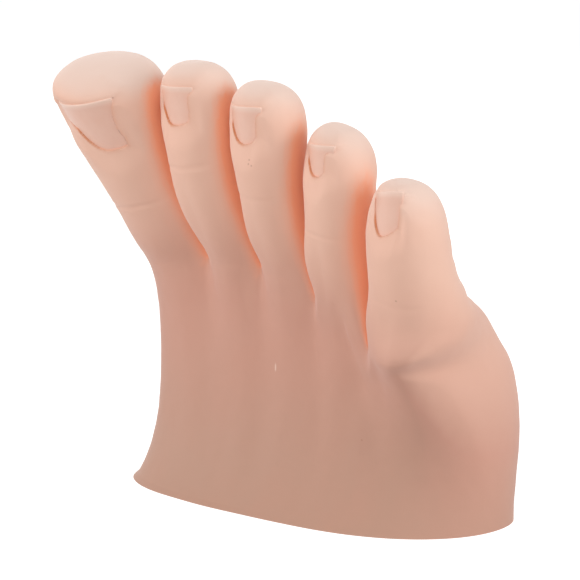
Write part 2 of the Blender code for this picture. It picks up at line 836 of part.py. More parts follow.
def lower_link_mesh(index, grow):
    """The link between a toe's knuckles: a tongue below, a fork above. Grown, it is the room cast round it."""
    root, tip, frame, length = link_frames(index)
    wide = fork_half() + grow
    name = TOES[index].name + "_lower_link"
    half = ARM_DEPTH / 2 + grow
    radius = EYE_RADIUS + grow
    flat = math.sqrt(radius**2 - half**2)
    bend = math.degrees(math.atan2(flat, half))
    outline = arc(radius, 180.0 - bend, 360.0 + bend, EYE_STEPS)
    outline += arc(radius, -bend, 180.0 + bend, EYE_STEPS, (0.0, length))
    bar = prism(frame, outline, wide)
    if grow:
        return bar
    cuts = []
    room = EYE_RADIUS + PLAY
    for side in (-1.0, 1.0):
        place = frame.copy()
        inner = TONGUE / 2
        outer = wide + OVERRUN
        place.translation = frame @ Vector((side * (inner + outer) / 2, 0.0, 0.0))
        block = [(-OVERRUN, -OVERRUN), (OVERRUN, -OVERRUN)] + arc(room, 0.0, 180.0, EYE_STEPS)
        cuts.append(("DIFFERENCE", prism(place, block, (outer - inner) / 2)))
    top = frame.copy()
    top.translation = frame @ Vector((0.0, 0.0, length))
    mouth = arc(room, 180.0, 360.0, EYE_STEPS) + [(OVERRUN, OVERRUN), (-OVERRUN, OVERRUN)]
    cuts.append(("DIFFERENCE", prism(top, mouth, TONGUE / 2 + PLAY)))
    for place in (frame, top):
        cuts.append(("DIFFERENCE", prism(place, disc(RIVET_RADIUS + PLAY), wide + OVERRUN)))
    return combine(bar, cuts, name)


def upper_link_mesh(index, grow):
    """The last link of a toe: a tongue in the lower link's fork, and a barbed stem that holds the tip's silicone."""
    tip = spine_frame(index, tip_share(index))
    room = TOES[index].length * (1.0 - tip_share(index)) * UPPER_LINK_SHARE
    half = ARM_DEPTH / 2 + grow
    radius = EYE_RADIUS + grow
    flat = math.sqrt(radius**2 - half**2)
    bend = math.degrees(math.atan2(flat, half))
    outline = arc(radius, 180.0 - bend, 360.0 + bend, EYE_STEPS)
    outline += [(half, room - ARM_DEPTH / 4), (-half, room - ARM_DEPTH / 4)]
    name = TOES[index].name + "_upper_link"
    stem = prism(tip, outline, TONGUE / 2 + grow)
    wide = half + BARB
    start = room - ARM_DEPTH / 2 - grow
    barb = [(-wide, start), (wide, start), (wide, room + grow), (-wide, room + grow)]
    solid = combine(stem, [("UNION", prism(tip, barb, fork_half() + grow))], name)
    if grow:
        return solid
    return combine(solid, [("DIFFERENCE", prism(tip, disc(RIVET_RADIUS + PLAY), OVERRUN))], name)


def keel_outline(grow):
    """The keel plate's outline across the forefoot, wider at its head than at its foot."""
    inner = min(ROOT_CENTRES) - grow
    outer = max(ROOT_CENTRES) + grow
    narrow = PLATE_EDGE
    return [
        (inner + narrow, PLATE_FOOT - grow),
        (outer - narrow, PLATE_FOOT - grow),
        (outer, PLATE_HEAD + grow),
        (inner, PLATE_HEAD + grow),
    ]


def upright_prism(outline, middle, half):
    """An outline of (X, Z) points drawn out along Y."""
    shape = bmesh.new()
    loops = []
    for back in (middle - half, middle + half):
        loops.append([shape.verts.new((across, back, height)) for across, height in outline])
    bridge_loops(shape, loops)
    shape.faces.new(loops[0])
    shape.faces.new(loops[1][::-1])
    bmesh.ops.recalc_face_normals(shape, faces=shape.faces)
    return finish_mesh(shape, "plate")


def finger_mesh(index, grow):
    """A finger of the keel: from the plate's head up to the toe's first knuckle."""
    root = spine_frame(index, root_share(index))
    wide = fork_half() + grow
    half = ARM_DEPTH / 2 + grow
    across = root.col[0].xyz
    pad = root.col[1].xyz
    along = root.col[2].xyz
    top = root.translation
    bend = top - along * (TOES[index].root_depth * FINGER_NECK_SHARE)
    drop = PLATE_HEAD - PLATE_THICKNESS - grow
    foot = Vector((bend.x, PLATE_BACK, drop))
    deep = Vector((0.0, 1.0, 0.0))
    shape = bmesh.new()
    loops = []
    for point, depth_way in ((top, pad), (bend, (pad + deep).normalized()), (foot, deep)):
        loop = []
        for turn, lean in ((-1, -1), (1, -1), (1, 1), (-1, 1)):
            loop.append(shape.verts.new(point + across * wide * turn + depth_way * half * lean))
        loops.append(loop)
    bridge_loops(shape, loops)
    shape.faces.new(loops[0])
    shape.faces.new(loops[-1][::-1])
    bmesh.ops.recalc_face_normals(shape, faces=shape.faces)
    return finish_mesh(shape, "finger"), prism(root, disc(EYE_RADIUS + grow), wide + EYE_BOSS)


def keel_mesh(grow):
    """The keel plate with its five forked fingers. Grown, it is the room cast round it."""
    half = PLATE_THICKNESS / 2 + grow
    plate = upright_prism(keel_outline(grow), PLATE_BACK, half)
    steps = []
    for index in range(len(TOES)):
        finger, eye = finger_mesh(index, grow)
        steps += [("UNION", finger), ("UNION", eye)]
    for index in range(len(TOES) - 1):
        across = (ROOT_CENTRES[index] + ROOT_CENTRES[index + 1]) / 2
        hole = [(across + x, (PLATE_FOOT + PLATE_HEAD) / 2 + z) for x, z in disc(KEY_HOLE_RADIUS - grow)]
        steps.append(("DIFFERENCE", upright_prism(hole, PLATE_BACK, half + OVERRUN)))
    if not grow:
        for index in range(len(TOES)):
            root = spine_frame(index, root_share(index))
            room = EYE_RADIUS + PLAY
            mouth = arc(room, 180.0, 360.0, EYE_STEPS) + [(OVERRUN, OVERRUN), (-OVERRUN, OVERRUN)]
            steps.append(("DIFFERENCE", prism(root, mouth, TONGUE / 2 + PLAY)))
            steps.append(("DIFFERENCE", prism(root, disc(RIVET_RADIUS + PLAY), fork_half() + OVERRUN)))
    return combine(plate, steps, "keel_plate")


def nail_frame(tree, index):
    """Where a nail lies: X across it, Y into the toe and Z out along it, on the crown of its free edge."""
    toe = TOES[index]
    half = toe.nail_length / 2 / toe.length
    turn = Matrix.Rotation(math.radians(-toe.nail_turn), 4, "Z")
    ends = []
    for share in (toe.nail_place - half, toe.nail_place + half):
        frame = spine_frame(index, share) @ turn
        pad = frame.col[1].xyz
        ends.append((frame.translation - pad * reach(tree, frame.translation, -pad), pad))
    root = ends[0][0] + ends[0][1] * NAIL_ROOT_SINK
    crown = ends[1][0] - ends[1][1] * NAIL_PROUD
    along = (crown - root).normalized()
    across = frame.col[0].xyz
    across = (across - along * across.dot(along)).normalized()
    inward = along.cross(across)
    frame = Matrix((across, inward, along)).transposed().to_4x4()
    frame.translation = crown
    return frame


def nail_depth(toe, across):
    """How far a bent nail plate falls away from its crown."""
    bend = toe.nail_width * NAIL_BEND_SHARE
    return bend - math.sqrt(bend**2 - across**2)


def nail_rounding(toe, side):
    """How far a nail's end falls back from its middle, at a place from -1 to 1 across it."""
    return toe.nail_width * NAIL_CORNER_SHARE * (1.0 - math.sqrt(1.0 - side**2 * NAIL_TAIL_ROUND_SHARE))


def nail_mesh(frame, index):
    """A nail plate, bent across, with a rounded tail and softer corners at its free edge."""
    toe = TOES[index]
    half = toe.nail_width / 2
    whole = toe.nail_length + NAIL_TAIL
    shape = bmesh.new()
    layers = []
    for depth in (0.0, NAIL_THICKNESS):
        rows = []
        for row in range(NAIL_ROWS + 1):
            share = row / NAIL_ROWS
            line = []
            for column in range(NAIL_COLUMNS + 1):
                side = 2.0 * column / NAIL_COLUMNS - 1.0
                across = half * side
                tail = nail_rounding(toe, side)
                along = (tail - whole) * (1.0 - share) - tail * NAIL_FREE_EDGE_SHARE * share
                line.append(shape.verts.new(frame @ Vector((across, nail_depth(toe, across) + depth, along))))
            rows.append(line)
        layers.append(rows)
    close_sheet(shape, layers)
    return finish_mesh(shape, toe.name + "_nail")


def close_sheet(shape, layers):
    """Faces over two matching grids of corners and round their rims."""
    for rows in layers:
        for lower, upper in zip(rows, rows[1:]):
            for column in range(len(lower) - 1):
                shape.faces.new((lower[column], lower[column + 1], upper[column + 1], upper[column]))
    rims = []
    for rows in layers:
        left = [row[0] for row in rows[1:-1]]
        right = [row[-1] for row in rows[1:-1]]
        rims.append(rows[0] + right + rows[-1][::-1] + left[::-1])
    bridge_loops(shape, rims)
    bmesh.ops.recalc_face_normals(shape, faces=shape.faces)


def nail_room(frame, index):
    """The slot under the fold that holds a nail's tail, and the open bed in front of it."""
    toe = TOES[index]
    half = toe.nail_width / 2 + PLAY
    tail = -(toe.nail_length + NAIL_TAIL + PLAY)
    fold = -toe.nail_length
    free = toe.nail_length
    shape = bmesh.new()
    rows = {}
    for key, along in (("tail", tail), ("fold", fold), ("free", free)):
        for level in ("under", "over", "open"):
            line = []
            for column in range(NAIL_COLUMNS + 1):
                side = 2.0 * column / NAIL_COLUMNS - 1.0
                across = half * side
                depth = nail_depth(toe, across)
                under = depth + NAIL_THICKNESS + PLAY
                height = {"under": under, "over": depth - PLAY, "open": -toe.nail_width}
                back = along if key == "free" else along + nail_rounding(toe, side) * NAIL_FOLD_SHARE
                line.append(frame @ Vector((across, height[level], back)))
            rows[key, level] = line
    needed = ("tail under", "tail over", "fold under", "fold over", "fold open", "free under", "free open")
    net = {}
    for name in needed:
        key, level = name.split()
        net[name] = [shape.verts.new(point) for point in rows[key, level]]
    strips = (
        ("tail under", "fold under"),
        ("fold under", "free under"),
        ("tail over", "fold over"),
        ("fold over", "fold open"),
        ("fold open", "free open"),
        ("tail under", "tail over"),
        ("free under", "free open"),
    )
    for first, second in strips:
        lower, upper = net[first], net[second]
        for column in range(NAIL_COLUMNS):
            shape.faces.new((lower[column], lower[column + 1], upper[column + 1], upper[column]))
    for end in (0, -1):
        shape.faces.new([net[name][end] for name in ("tail under", "tail over", "fold over", "fold under")])
        side = ("fold under", "fold over", "fold open", "free open", "free under")
        shape.faces.new([net[name][end] for name in side])
    bmesh.ops.triangulate(shape, faces=shape.faces)
    bmesh.ops.recalc_face_normals(shape, faces=shape.faces)
    return finish_mesh(shape, toe.name + "_nail_room")


def material(piece, look):
    """A piece's own material, named after the piece and its stuff."""
    surface = bpy.data.materials.new(piece + "_" + look.stuff)
    surface.use_nodes = True
    shader = surface.node_tree.nodes["Principled BSDF"]
    shader.inputs["Base Color"].default_value = (*look.colour, 1.0)
    shader.inputs["Roughness"].default_value = look.roughness
    shader.inputs["Metallic"].default_value = look.metallic
    return surface


def place_piece(name, mesh, origin, look):
    """A finished piece in the scene, with its origin on its joint, smooth where it is round."""
    item = add_object(name, mesh)
    item.data.name = name
    item.data.transform(Matrix.Translation(-origin))
    item.location = origin
    item.data.materials.clear()
    item.data.materials.append(material(name, look))
    item.data.polygons.foreach_set("use_smooth", [True] * len(item.data.polygons))
    item.data.set_sharp_from_angle(angle=math.radians(SMOOTH_ANGLE))
    return item


def clear_scene():
    for item in list(bpy.data.objects):
        bpy.data.objects.remove(item)


def build_toe(form, tree, index):
    """All the pieces of one toe; returns the room that it needs in the forefoot."""
    toe = TOES[index]
    root, tip, _, _ = link_frames(index)
    whole = toe_mesh(form, index, 0.0)
    swollen = toe_mesh(form, index, PLAY / 2)
    room = combine(swollen, [("INTERSECT", knuckle_ball(tree, root, toe.length, PLAY))], toe.name + "_room")

    nail_at = nail_frame(tree, index)
    base = combine(
        whole.copy(),
        [
            ("INTERSECT", knuckle_ball(tree, root, toe.length, 0.0)),
            ("DIFFERENCE", knuckle_ball(tree, tip, toe.length, PLAY)),
            ("DIFFERENCE", lower_link_mesh(index, PLAY)),
            ("DIFFERENCE", swing_room(root, -root.col[2].xyz, toe.length, ROOT_SWING)),
        ],
        toe.name + "_base",
    )
    end = combine(
        whole.copy(),
        [
            ("INTERSECT", knuckle_ball(tree, tip, toe.length, 0.0)),
            ("DIFFERENCE", upper_link_mesh(index, PLAY)),
            ("DIFFERENCE", swing_room(tip, root.translation - tip.translation, toe.length, TIP_SWING)),
            ("DIFFERENCE", nail_room(nail_at, index)),
        ],
        toe.name + "_tip",
    )
    place_piece(toe.name + "_base", base, root.translation, SILICONE)
    place_piece(toe.name + "_tip", end, tip.translation, SILICONE)
    place_piece(toe.name + "_nail", nail_mesh(nail_at, index), nail_at.translation, NAIL_PLASTIC)
    place_piece(toe.name + "_lower_link", lower_link_mesh(index, 0.0), root.translation, NYLON)
    place_piece(toe.name + "_upper_link", upper_link_mesh(index, 0.0), tip.translation, NYLON)
    place_piece(toe.name + "_root_rivet", rivet_mesh(root, "rivet"), root.translation, STEEL)
    place_piece(toe.name + "_tip_rivet", rivet_mesh(tip, "rivet"), tip.translation, STEEL)
    return room


def build():
    clear_scene()
    form = form_mesh()
    shape = bmesh.new()
    shape.from_mesh(form)
    tree = BVHTree.FromBMesh(shape)
    shape.free()
    steps = []
    for index in range(len(TOES)):
        steps.append(("DIFFERENCE", build_toe(form, tree, index)))
    steps.append(("DIFFERENCE", keel_mesh(PLAY)))
    forefoot = combine(form_without_numbers(form), steps, "silicone_forefoot")
    place_piece("silicone_forefoot", forefoot, Vector((0.0, 0.0, 0.0)), SILICONE)
    place_piece("keel_plate", keel_mesh(0.0), Vector((0.0, 0.0, 0.0)), NYLON)


build()
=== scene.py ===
"""Nail practice foot: how its silicone skin, its nails and the knuckles inside them look.

The skin is modelled as one form with its toes, creases and nail slots, and is then cut into the forefoot
and two lengths of each toe, which bend about the toe's knuckles. X runs from the big toe to the little toe,
+Y towards the sole, -Y towards the nails and +Z towards the tips. Lengths are in metres.
"""

import json
import math
from typing import NamedTuple

import bmesh
import bpy
import numpy as np
from mathutils import Matrix, Vector, noise
from mathutils.bvhtree import BVHTree

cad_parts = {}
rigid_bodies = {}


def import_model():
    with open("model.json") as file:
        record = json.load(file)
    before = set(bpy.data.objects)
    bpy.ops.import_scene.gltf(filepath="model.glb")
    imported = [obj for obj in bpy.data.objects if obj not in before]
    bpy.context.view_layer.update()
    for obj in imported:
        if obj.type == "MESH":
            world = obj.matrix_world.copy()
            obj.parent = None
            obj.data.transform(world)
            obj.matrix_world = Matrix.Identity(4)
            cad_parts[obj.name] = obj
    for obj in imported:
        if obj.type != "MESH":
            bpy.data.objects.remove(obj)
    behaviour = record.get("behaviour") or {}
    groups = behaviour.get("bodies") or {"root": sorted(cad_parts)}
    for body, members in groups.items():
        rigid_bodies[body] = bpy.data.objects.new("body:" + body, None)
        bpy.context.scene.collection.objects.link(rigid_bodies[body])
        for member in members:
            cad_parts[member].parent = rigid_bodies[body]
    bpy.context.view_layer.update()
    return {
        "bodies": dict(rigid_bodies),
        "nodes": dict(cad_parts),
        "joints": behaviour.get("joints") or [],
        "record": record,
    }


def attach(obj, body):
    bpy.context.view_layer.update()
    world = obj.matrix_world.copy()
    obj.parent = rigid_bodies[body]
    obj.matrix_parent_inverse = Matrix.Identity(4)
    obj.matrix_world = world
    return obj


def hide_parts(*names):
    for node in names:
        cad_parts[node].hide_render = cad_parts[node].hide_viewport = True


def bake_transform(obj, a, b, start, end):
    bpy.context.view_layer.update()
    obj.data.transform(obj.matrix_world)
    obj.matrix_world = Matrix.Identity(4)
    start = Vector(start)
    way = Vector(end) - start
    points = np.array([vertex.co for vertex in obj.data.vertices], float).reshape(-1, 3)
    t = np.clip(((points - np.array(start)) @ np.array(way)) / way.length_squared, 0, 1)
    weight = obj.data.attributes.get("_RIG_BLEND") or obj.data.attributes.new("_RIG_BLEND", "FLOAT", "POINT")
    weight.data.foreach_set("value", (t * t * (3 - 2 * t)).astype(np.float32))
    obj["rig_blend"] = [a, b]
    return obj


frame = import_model()

MM = 0.001

# Camera, at the photograph's own angle
CAMERA_AZIMUTH = 40.0
CAMERA_ELEVATION = 12.0
CAMERA_DISTANCE = 0.43
CAMERA_LENS = 118.0
CAMERA_NEAR = 0.01
CAMERA_TARGET = (0.0, 0.0, 0.050)

# Fineness of the cage: steps along a spine, corners round a toe and faces across one
SPINE_STEPS = 24
RING_SIDES = 12
TOE_SPANS = 4
FIRST_CORNER_ANGLE = 210.0


class Toe(NamedTuple):
    """One toe: its width and depth at the web and at its pulp, its length, and where its root is.

    Then come the degrees that it leans back from the sole at its root and at its tip, the degrees that its
    tip slopes down towards the little toe, how low the web beside it dips, and its nail's sizes, place and
    turn.
    """

    name: str
    root_width: float
    root_depth: float
    width: float
    depth: float
    length: float
    root_height: float
    root_back: float
    lean_at_root: float
    lean_at_tip: float
    tip_slope: float
    web_drop: float
    nail_width: float
    nail_length: float
    nail_place: float
    nail_turn: float


TOES = (
    Toe(
        name="big_toe", root_width=0.0225, root_depth=0.0205, width=0.0273, depth=0.0245,
        length=0.0477, root_height=0.0590, root_back=0.0010, lean_at_root=34.0,
        lean_at_tip=28.0, tip_slope=13.0, web_drop=0.0040,
        nail_width=0.0175, nail_length=0.0130, nail_place=0.780, nail_turn=3.0,
    ),
    Toe(
        name="second_toe", root_width=0.0155, root_depth=0.0180, width=0.0180, depth=0.0185,
        length=0.0440, root_height=0.0610, root_back=-0.0012, lean_at_root=38.0,
        lean_at_tip=2.0, tip_slope=3.0, web_drop=0.0045,
        nail_width=0.0100, nail_length=0.0088, nail_place=0.805, nail_turn=6.0,
    ),
    Toe(
        name="third_toe", root_width=0.0150, root_depth=0.0180, width=0.0168, depth=0.0180,
        length=0.0410, root_height=0.0600, root_back=-0.0005, lean_at_root=36.0,
        lean_at_tip=3.0, tip_slope=5.0, web_drop=0.0070,
        nail_width=0.0092, nail_length=0.0083, nail_place=0.805, nail_turn=6.0,
    ),
    Toe(
        name="fourth_toe", root_width=0.0138, root_depth=0.0175, width=0.0155, depth=0.0172,
        length=0.0358, root_height=0.0555, root_back=-0.0005, lean_at_root=26.0,
        lean_at_tip=3.0, tip_slope=12.0, web_drop=0.0090,
        nail_width=0.0080, nail_length=0.0072, nail_place=0.815, nail_turn=9.0,
    ),
    Toe(
        name="little_toe", root_width=0.0220, root_depth=0.0236, width=0.0170, depth=0.0184,
        length=0.0347, root_height=0.0470, root_back=0.0008, lean_at_root=29.0,
        lean_at_tip=9.0, tip_slope=8.0, web_drop=0.0,
        nail_width=0.0080, nail_length=0.0095, nail_place=0.820, nail_turn=12.0,
    ),
)
# Sideways place of the big toe's outer edge, at its root and at its pulp
BIG_TOE_ROOT_EDGE = -0.0440
BIG_TOE_TIP_EDGE = -0.0518
WEB_WIDTH = 0.0008
TOE_GAP = 0.0012
WEB_SINK = 0.0022

# The forefoot below the toes: how far it reaches to its two sides, how far back those sides lie, and how
# far the instep, the sole and the ball swell out from the line between them
INNER_REACH = 0.0455
OUTER_REACH = 0.0490
INNER_BACK = 0.0070
OUTER_BACK = 0.0160
INSTEP_SWELL = 0.0255
SOLE_SWELL = 0.0180
BALL_SWELL = 0.0035


class Outline(NamedTuple):
    """One level of the forefoot, as shares: of the height of the toes' roots, then of the seven sizes above.

    The last share is how much of the toes' own lumps shows at that level.
    """

    height: float
    inner_reach: float
    outer_reach: float
    inner_back: float
    outer_back: float
    instep: float
    sole: float
    ball: float
    toes: float


OUTLINE_SHARES = (
    Outline(0.00, 1.000, 1.000, 1.00, 1.00, 1.000, 0.833, 0.00, 0.00),
    Outline(0.07, 0.965, 0.996, 1.00, 1.00, 0.880, 0.861, 0.00, 0.00),
    Outline(0.24, 0.925, 0.992, 1.00, 1.03, 0.705, 0.917, 0.29, 0.00),
    Outline(0.48, 0.925, 0.985, 1.00, 1.03, 0.605, 1.000, 0.86, 0.03),
    Outline(0.72, 0.925, 0.955, 0.95, 0.91, 0.560, 1.000, 1.00, 0.12),
    Outline(0.90, 0.930, 0.885, 0.90, 0.80, 0.555, 0.861, 0.63, 0.35),
)
INNER_SIDE_POWER = 3.4
OUTER_SIDE_POWER = 2.1
SOLE_POWER = 3.0
SOLE_RIB_SHARE = 0.30
# How far a subdivided cage shrinks from its own corners
CAGE_SWELL_SHARE = 1.05

# The rings of a toe: share of its length, then shares of its pulp width, of half its depth towards the
# nail, and of half its depth towards the pad
RING_SHARES = (
    (0.12, 0.90, 0.96, 0.98),
    (0.30, 0.84, 0.94, 0.88),
    (0.48, 0.90, 0.98, 0.86),
    (0.64, 0.98, 0.93, 0.97),
    (0.79, 1.00, 0.90, 1.10),
    (0.91, 0.90, 0.76, 1.00),
    (0.985, 0.58, 0.46, 0.66),
)
TIP_BULGE_SHARE = 1.015
TIP_SLOPE_POWER = 4.0
BIG_TOE_RING_SHARES = (
    (0.12, 0.86, 0.90, 0.95),
    (0.30, 0.80, 0.83, 0.88),
    (0.47, 0.84, 0.85, 0.90),
    (0.62, 0.93, 0.82, 1.00),
    (0.77, 1.00, 0.83, 1.12),
    (0.89, 0.975, 0.78, 1.12),
    (0.965, 0.82, 0.62, 0.90),
)
FOURTH_TOE_RING_SHARES = (
    (0.12, 0.90, 0.96, 0.98),
    (0.30, 0.86, 0.94, 0.88),
    (0.48, 0.92, 0.98, 0.86),
    (0.64, 0.99, 0.93, 0.97),
    (0.79, 0.99, 0.90, 1.04),
    (0.91, 0.82, 0.76, 0.88),
    (0.985, 0.50, 0.46, 0.54),
)
LITTLE_TOE_RING_SHARES = (
    (0.12, 1.21, 1.05, 1.20),
    (0.30, 1.11, 1.02, 1.00),
    (0.48, 1.05, 1.00, 0.96),
    (0.64, 1.02, 0.94, 1.00),
    (0.79, 0.94, 0.88, 1.02),
    (0.91, 0.77, 0.72, 0.88),
    (0.985, 0.46, 0.42, 0.54),
)


def toe_edges(first_edge, widths, gap):
    """Centres of pieces laid side by side from first_edge, with a gap between them."""
    centres = []
    edge = first_edge
    for width in widths:
        centres.append(edge + width / 2)
        edge += width + gap
    return centres


ROOT_CENTRES = toe_edges(BIG_TOE_ROOT_EDGE, [toe.root_width for toe in TOES], WEB_WIDTH)
TIP_CENTRES = toe_edges(BIG_TOE_TIP_EDGE, [toe.width for toe in TOES], TOE_GAP)
ROOT_HEIGHTS = [toe.root_height for toe in TOES]


def lean_at(toe, share):
    return math.radians(toe.lean_at_root + (toe.lean_at_tip - toe.lean_at_root) * share)


def splay_of(index):
    """How far a toe spreads sideways, in radians, so that its pulp clears its neighbours' pulps."""
    toe = TOES[index]
    height = toe.length * math.cos(lean_at(toe, 0.5))
    return math.atan2(TIP_CENTRES[index] - ROOT_CENTRES[index], height)


def side_axis(index):
    """The direction across a toe, which its knuckle rivets follow."""
    splay = splay_of(index)
    return Vector((math.cos(splay), 0.0, -math.sin(splay)))


def spine_frame(index, share):
    """Place and directions at a share of a toe's length: X across it, Y to its pad, Z along its spine."""
    toe = TOES[index]
    across = side_axis(index)
    upright = Vector((-across.z, 0.0, across.x))
    point = Vector((ROOT_CENTRES[index], toe.root_back, toe.root_height))
    steps = max(1, round(SPINE_STEPS * share))
    for step in range(steps):
        lean = lean_at(toe, share * (step + 0.5) / steps)
        along = upright * math.cos(lean) - Vector((0.0, math.sin(lean), 0.0))
        point = point + along * (toe.length * share / steps)
    lean = lean_at(toe, share)
    along = upright * math.cos(lean) - Vector((0.0, math.sin(lean), 0.0))
    pad = along.cross(across)
    frame = Matrix((across, pad, along)).transposed().to_4x4()
    frame.translation = point
    return frame


def ring_points(frame, half_width, nail_depth, pad_depth, slope):
    """Twelve corners round a toe, from its left shoulder over the nail side and back under the pad."""
    points = []
    for corner in range(RING_SIDES):
        angle = math.radians(FIRST_CORNER_ANGLE + 360.0 * corner / RING_SIDES)
        depth = nail_depth if math.sin(angle) < 0 else pad_depth
        local = Vector((half_width * math.cos(angle), depth * math.sin(angle), 0.0))
        local.z = -local.x * slope
        points.append(frame @ (local * CAGE_SWELL_SHARE))
    return points


def ring_shares(index):
    """The rings of one toe: the big, the fourth and the little toe have their own."""
    own = {0: BIG_TOE_RING_SHARES, 3: FOURTH_TOE_RING_SHARES, 4: LITTLE_TOE_RING_SHARES}
    return own.get(index, RING_SHARES)


def toe_rings(index):
    """The cage rings of a toe, from its root ring at the webs to the ring round its tip."""
    toe = TOES[index]
    shares = ring_shares(index)
    half_root = toe.root_depth / 2
    rings = [ring_points(spine_frame(index, 0.0), toe.root_width / 2, half_root, half_root, 0.0)]
    for along, width_share, nail_share, pad_share in shares:
        half_depth = toe.depth / 2
        frame = spine_frame(index, along)
        half_width = toe.width / 2 * width_share
        slope = math.tan(math.radians(toe.tip_slope)) * along**TIP_SLOPE_POWER
        rings.append(ring_points(frame, half_width, half_depth * nail_share, half_depth * pad_share, slope))
    return rings


def web_point(left, right, drop, sink):
    """The corner that two neighbouring toes share in their web, which hangs from the lower of the two."""
    middle = (left + right) / 2
    return Vector((middle.x, middle.y + sink, min(left.z, right.z) - drop))


def top_loop():
    """The forefoot's top loop: 21 corners over the nail side, one at the outer side, 21 under the sole."""
    roots = [toe_rings(index)[0] for index in range(len(TOES))]
    nail_side, sole_side, middles = [], [], []
    for index, ring in enumerate(roots):
        if index == 0:
            nail_side.append(ring[0])
            sole_side.append(ring[10])
        nail_side += ring[1:4]
        sole_side += ring[9:6:-1]
        if index + 1 < len(roots):
            after = roots[index + 1]
            nail_side.append(web_point(ring[4], after[0], TOES[index].web_drop, WEB_SINK))
            sole_side.append(web_point(ring[6], after[10], 0.0, -WEB_SINK))
            middles.append(web_point(ring[5], after[11], TOES[index].web_drop / 2, 0.0))
        else:
            nail_side.append(ring[4])
            sole_side.append(ring[6])
    return nail_side, sole_side, middles, roots[0][11], roots[-1][5]


def bow(place, power):
    """Height of a rounded outline, 0 at its ends and 1 in the middle, at a place from 0 to 1 across it."""
    reach = min(1.0, abs(2.0 * place - 1.0))
    return (1.0 - reach**power) ** (1.0 / power)


def outline_point(outline, place, side):
    """A corner of a forefoot level, from 0 to 1 across it; side is -1 for the nails' side, 1 for the sole."""
    inner = -INNER_REACH * outline.inner_reach
    outer = OUTER_REACH * outline.outer_reach
    across = inner + (outer - inner) * place
    inner_back = INNER_BACK * outline.inner_back
    back = inner_back + (OUTER_BACK * outline.outer_back - inner_back) * place
    if side < 0:
        power = INNER_SIDE_POWER + (OUTER_SIDE_POWER - INNER_SIDE_POWER) * place
        return across, back - INSTEP_SWELL * outline.instep * bow(place, power)
    swell = SOLE_SWELL * outline.sole + BALL_SWELL * outline.ball * math.cos(math.pi * place) ** 2
    return across, back + swell * bow(place, SOLE_POWER)


def forefoot_loops():
    """Cage loops of the forefoot from the cut face up to the webs, each with 44 corners."""
    nail_side, sole_side, middles, inner, outer = top_loop()
    top = nail_side + [outer] + sole_side[::-1] + [inner]
    left = inner.x
    width = outer.x - inner.x
    sides = [-1] * len(nail_side) + [-1] + [1] * len(sole_side) + [1]
    loops = []
    for outline in OUTLINE_SHARES:
        loop = []
        for point, side in zip(top, sides):
            place = min(1.0, max(0.0, (point.x - left) / width))
            across, back = outline_point(outline, place, side)
            own = Vector((across, back, 0.0))
            share = outline.toes * (1.0 if side < 0 else SOLE_RIB_SHARE)
            flat = own.lerp(Vector((point.x, point.y, 0.0)), share)
            flat.z = point.z * outline.height
            loop.append(flat)
        loops.append(loop)
    loops.append(top)
    return loops, middles


def skin_cage():
    """The whole foot as a cage of four-sided faces: forefoot loops, and toes drawn out of its top."""
    cage = bmesh.new()
    cage.verts.layers.float.new("along")
    loops, middles = forefoot_loops()
    rows = [[cage.verts.new(point) for point in loop] for loop in loops]
    count = len(rows[0])
    for lower, upper in zip(rows, rows[1:]):
        for corner in range(count):
            after = (corner + 1) % count
            cage.faces.new((lower[corner], lower[after], upper[after], upper[corner]))
    close_cut_face(cage, rows[0])
    top = rows[-1]
    half = count // 2
    nail_row = top[: half - 1]
    sole_row = top[half : count - 1][::-1]
    middle_row = [top[-1]] + [cage.verts.new(point) for point in middles] + [top[half - 1]]
    for index in range(len(TOES)):
        first = index * TOE_SPANS
        last = first + TOE_SPANS
        nail_corners = nail_row[first : last + 1]
        sole_corners = sole_row[first : last + 1]
        root = nail_corners + [middle_row[index + 1]] + sole_corners[::-1] + [middle_row[index]]
        grow_toe(cage, index, root)
    crease_cut_edge(cage, rows[0])
    bmesh.ops.recalc_face_normals(cage, faces=cage.faces)
    return cage


def close_cut_face(cage, loop):
    """Four-sided faces across the flat cut face."""
    half = len(loop) // 2
    nail_row = loop[: half - 1]
    sole_row = loop[half : len(loop) - 1][::-1]
    middle_row = [loop[-1]]
    for nail, sole in zip(nail_row[1:-1], sole_row[1:-1]):
        middle_row.append(cage.verts.new((nail.co + sole.co) / 2))
    middle_row.append(loop[half - 1])
    for first, second in ((nail_row, middle_row), (middle_row, sole_row)):
        for place in range(len(first) - 1):
            cage.faces.new((first[place], first[place + 1], second[place + 1], second[place]))


def crease_cut_edge(cage, loop):
    """Keeps the rim of the cut face sharp when the cage is subdivided."""
    crease = cage.edges.layers.float.new("crease_edge")
    rim = set(loop)
    for edge in cage.edges:
        if edge.verts[0] in rim and edge.verts[1] in rim:
            edge[crease] = 1.0


def grow_toe(cage, index, root):
    """Draws one toe out of its root ring, closes its tip, and gives corners their share along the toe."""
    along = cage.verts.layers.float["along"]
    shares = ring_shares(index)
    lower = root
    for points, row in zip(toe_rings(index)[1:], shares):
        upper = [cage.verts.new(point) for point in points]
        for corner in upper:
            corner[along] = row[0]
        for corner in range(RING_SIDES):
            after = (corner + 1) % RING_SIDES
            face = cage.faces.new((lower[corner], lower[after], upper[after], upper[corner]))
            face.material_index = index + 1
        lower = upper
    tip = spine_frame(index, TIP_BULGE_SHARE).translation
    base = spine_frame(index, shares[-1][0]).translation
    lift = tip - base
    middle = [lower[11]]
    for nail, pad in ((1, 9), (2, 8), (3, 7)):
        top = cage.verts.new((lower[nail].co + lower[pad].co) / 2 + lift)
        top[along] = 1.0
        middle.append(top)
    middle.append(lower[5])
    nail_row = lower[0:5]
    pad_row = [lower[10], lower[9], lower[8], lower[7], lower[6]]
    for first, second in ((nail_row, middle), (middle, pad_row)):
        for place in range(TOE_SPANS):
            face = cage.faces.new((first[place], first[place + 1], second[place + 1], second[place]))
            face.material_index = index + 1


